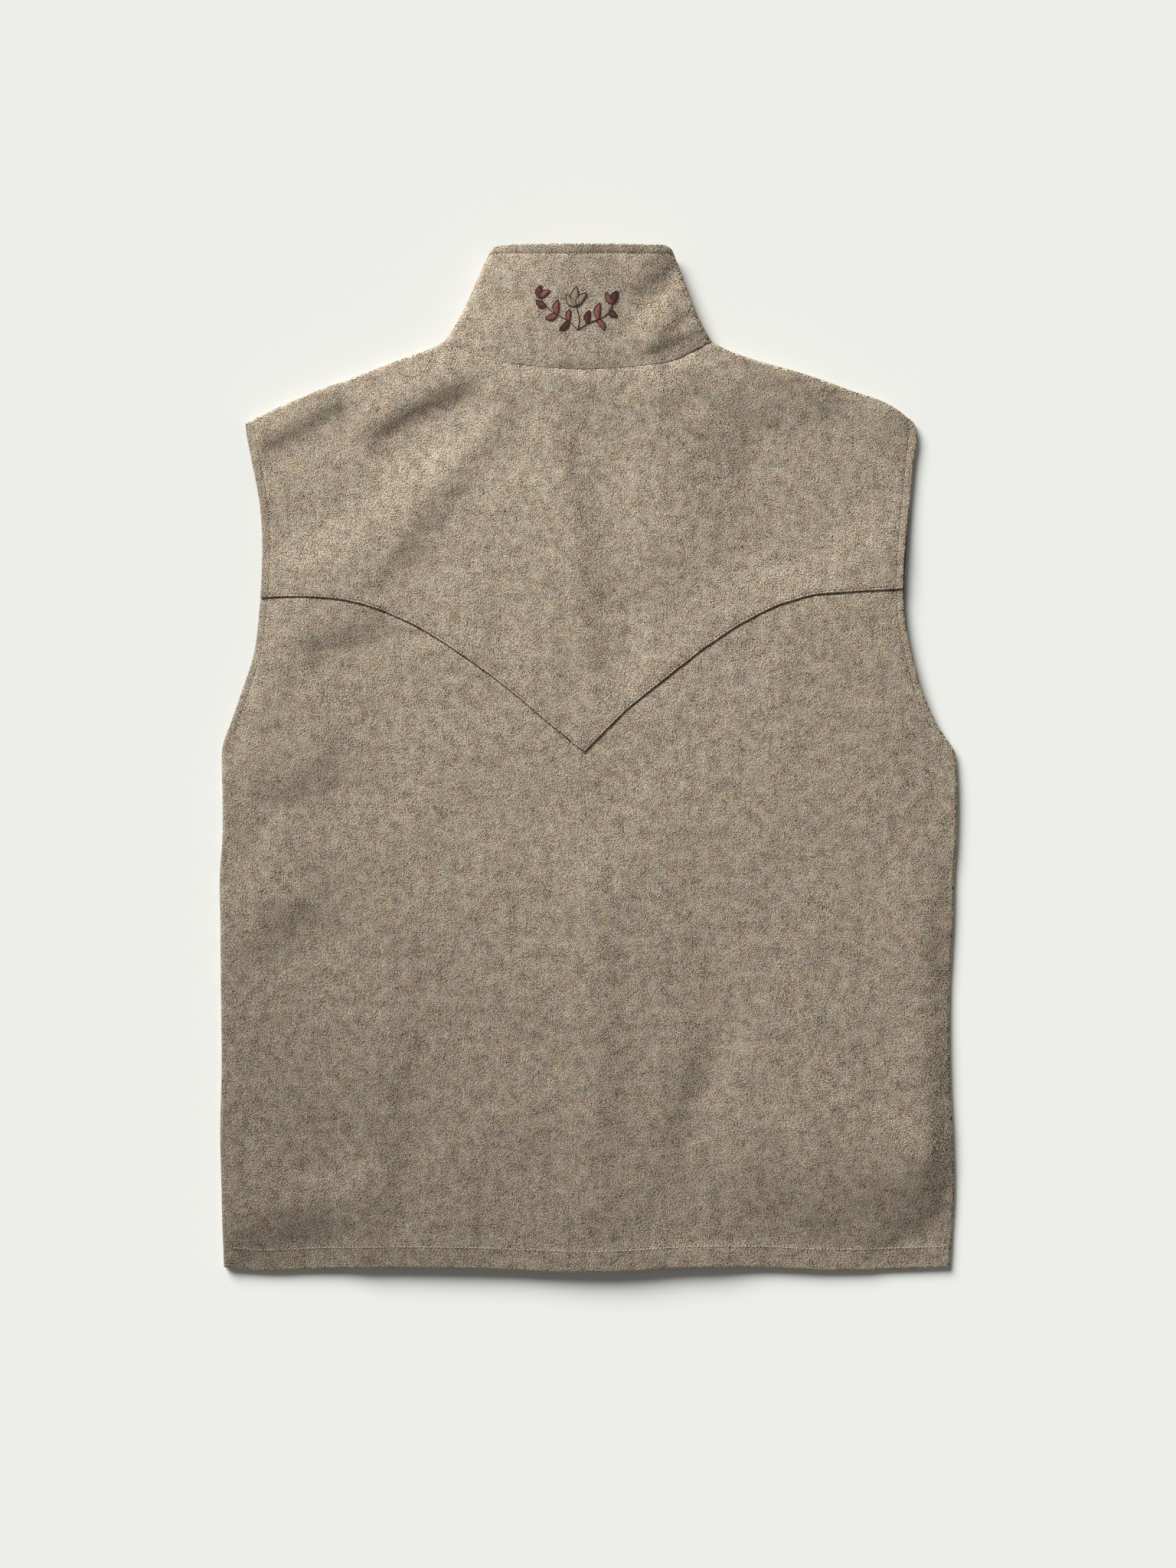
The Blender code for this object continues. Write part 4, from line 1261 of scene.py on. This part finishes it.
def makeGarland(cloth):
    points = [v.co for v in cloth.data.vertices]
    tree = BVHTree.FromPolygons(points, [p.vertices for p in cloth.data.polygons])
    outlines = []
    for stem in stemLines:
        t = np.linspace(0, len(stem["x"]) - 1, garland["stemSteps"])
        x, y = (glide(t, np.arange(len(stem["x"])), stem[axis]) for axis in ("x", "y"))
        outlines.append(onCloth(x, y, tree, 0 * x))
    for name, leaves in (("cream", creamLeaves), ("maroon", maroonLeaves), ("brick", brickLeaves)):
        rows = list(zip(*leaves.values()))
        paths, ups = (np.concatenate(part) for part in zip(*(satin(row, tree) for row in rows)))
        thread = threadMaterial(f"{name}_thread", garland[name], roughness=0.5, sheen=0.1)
        makeThreads(f"garland_{name}", paths, ups, garland["thick"] / 2 * satinRound, thread)
        for row in rows:
            for side in (-1, 1):
                x, y = leafPlace(row, np.linspace(0, 1, garland["leafSteps"]), side)
                outlines.append(onCloth(x, y, tree, 0 * x))
    darkThread = threadMaterial("dark_thread", garland["dark"], roughness=0.55, sheen=0.1)
    sew("garland_outline", outlines, garland["outline"], darkThread)


makeGarland(collarCloth)
print("stage: the garland is embroidered")


# Camera, light and floor
view = {
    "middle": (-0.3 * mm, -19.2 * mm),
    "tall": 1192 * mm,        # the picture's height, seen at the cloth
    "clothHeight": 9 * mm,
    "distance": 4.0,
}
light = {
    "from": (-0.56, 0.83),    # the window is on the upper left
    "elevation": 36,          # degrees
    "size": 36,               # degrees across
    "onFloor": 4.43,          # its strength, on the floor alone
    "fill": 0.16,             # from the room all round
    "fillColour": (1, 1, 0.99, 1),
    "lampFrom": (-0.588, 0.809),  # a nearer window lights the cloth alone, so that it darkens downwards
    "lampElevation": 29,
    "lampAway": 2.5,
    "lampAim": (0.11, 0.06, 0.0),
    "lampSize": 0.75,
    "lampSpread": 40,         # degrees, through a grid
    "lampPower": 4.65,        # watts
}


def placeCamera():
    data = bpy.data.cameras.new("camera")
    data.lens = data.sensor_width * view["distance"] / view["tall"]
    camera = bpy.data.objects.new("camera", data)
    camera.location = (*view["middle"], view["clothHeight"] + view["distance"])
    bpy.context.scene.collection.objects.link(camera)
    bpy.context.scene.camera = camera


def placeWindow(lit):
    data = bpy.data.lights.new("window", "SUN")
    data.energy = light["onFloor"]
    data.angle = np.radians(light["size"])
    lamp = bpy.data.objects.new("window", data)
    turn = np.arctan2(light["from"][0], -light["from"][1])
    lamp.rotation_euler = (np.radians(90 - light["elevation"]), 0, turn)
    bpy.context.scene.collection.objects.link(lamp)
    lamp.light_linking.receiver_collection = lit


def placeLamp(lit):
    data = bpy.data.lights.new("lamp", "AREA")
    data.energy = light["lampPower"]
    data.size = light["lampSize"]
    data.spread = np.radians(light["lampSpread"])
    up = np.radians(light["lampElevation"])
    away = Vector((*(np.array(light["lampFrom"]) * np.cos(up)), np.sin(up)))
    lamp = bpy.data.objects.new("lamp", data)
    lamp.location = Vector(light["lampAim"]) + away * light["lampAway"]
    lamp.rotation_euler = away.to_track_quat("Z", "Y").to_euler()
    bpy.context.scene.collection.objects.link(lamp)
    lamp.light_linking.receiver_collection = lit


def placeWorld():
    world = bpy.data.worlds.new("studio")
    world.use_nodes = True
    backdrop = world.node_tree.nodes["Background"].inputs
    backdrop["Color"].default_value = light["fillColour"]
    backdrop["Strength"].default_value = light["fill"]
    bpy.context.scene.world = world
    bpy.context.scene.view_settings.view_transform = "Standard"


ground = {"half": 6.0, "below": 0.2 * mm, "colour": linear(238, 239, 234)}


def placeFloor():
    mesh = bpy.data.meshes.new("floor")
    sides = ((-1, -1), (1, -1), (1, 1), (-1, 1))
    corners = [(x * ground["half"], y * ground["half"], -ground["below"]) for x, y in sides]
    mesh.from_pydata(corners, [], [(0, 1, 2, 3)])
    fixed = {"Base Color": (*ground["colour"], 1), "Roughness": 1.0, "Specular IOR Level": 0.0}
    mesh.materials.append(newMaterial("floor", fixed)[0])
    floor = bpy.data.objects.new("floor", mesh)
    bpy.context.scene.collection.objects.link(floor)
    return floor


def group(name, members):  # what one lamp lights
    made = bpy.data.collections.new(name)
    for member in members:
        made.objects.link(member)
    return made


placeCamera()
placeWorld()
cloth = group("cloth", [piece for piece in bpy.context.scene.objects if piece.type == "MESH"])
placeWindow(group("stage", [placeFloor()]))
placeLamp(cloth)
print("stage: the camera, light and floor are placed")
bpy.context.view_layer.update()
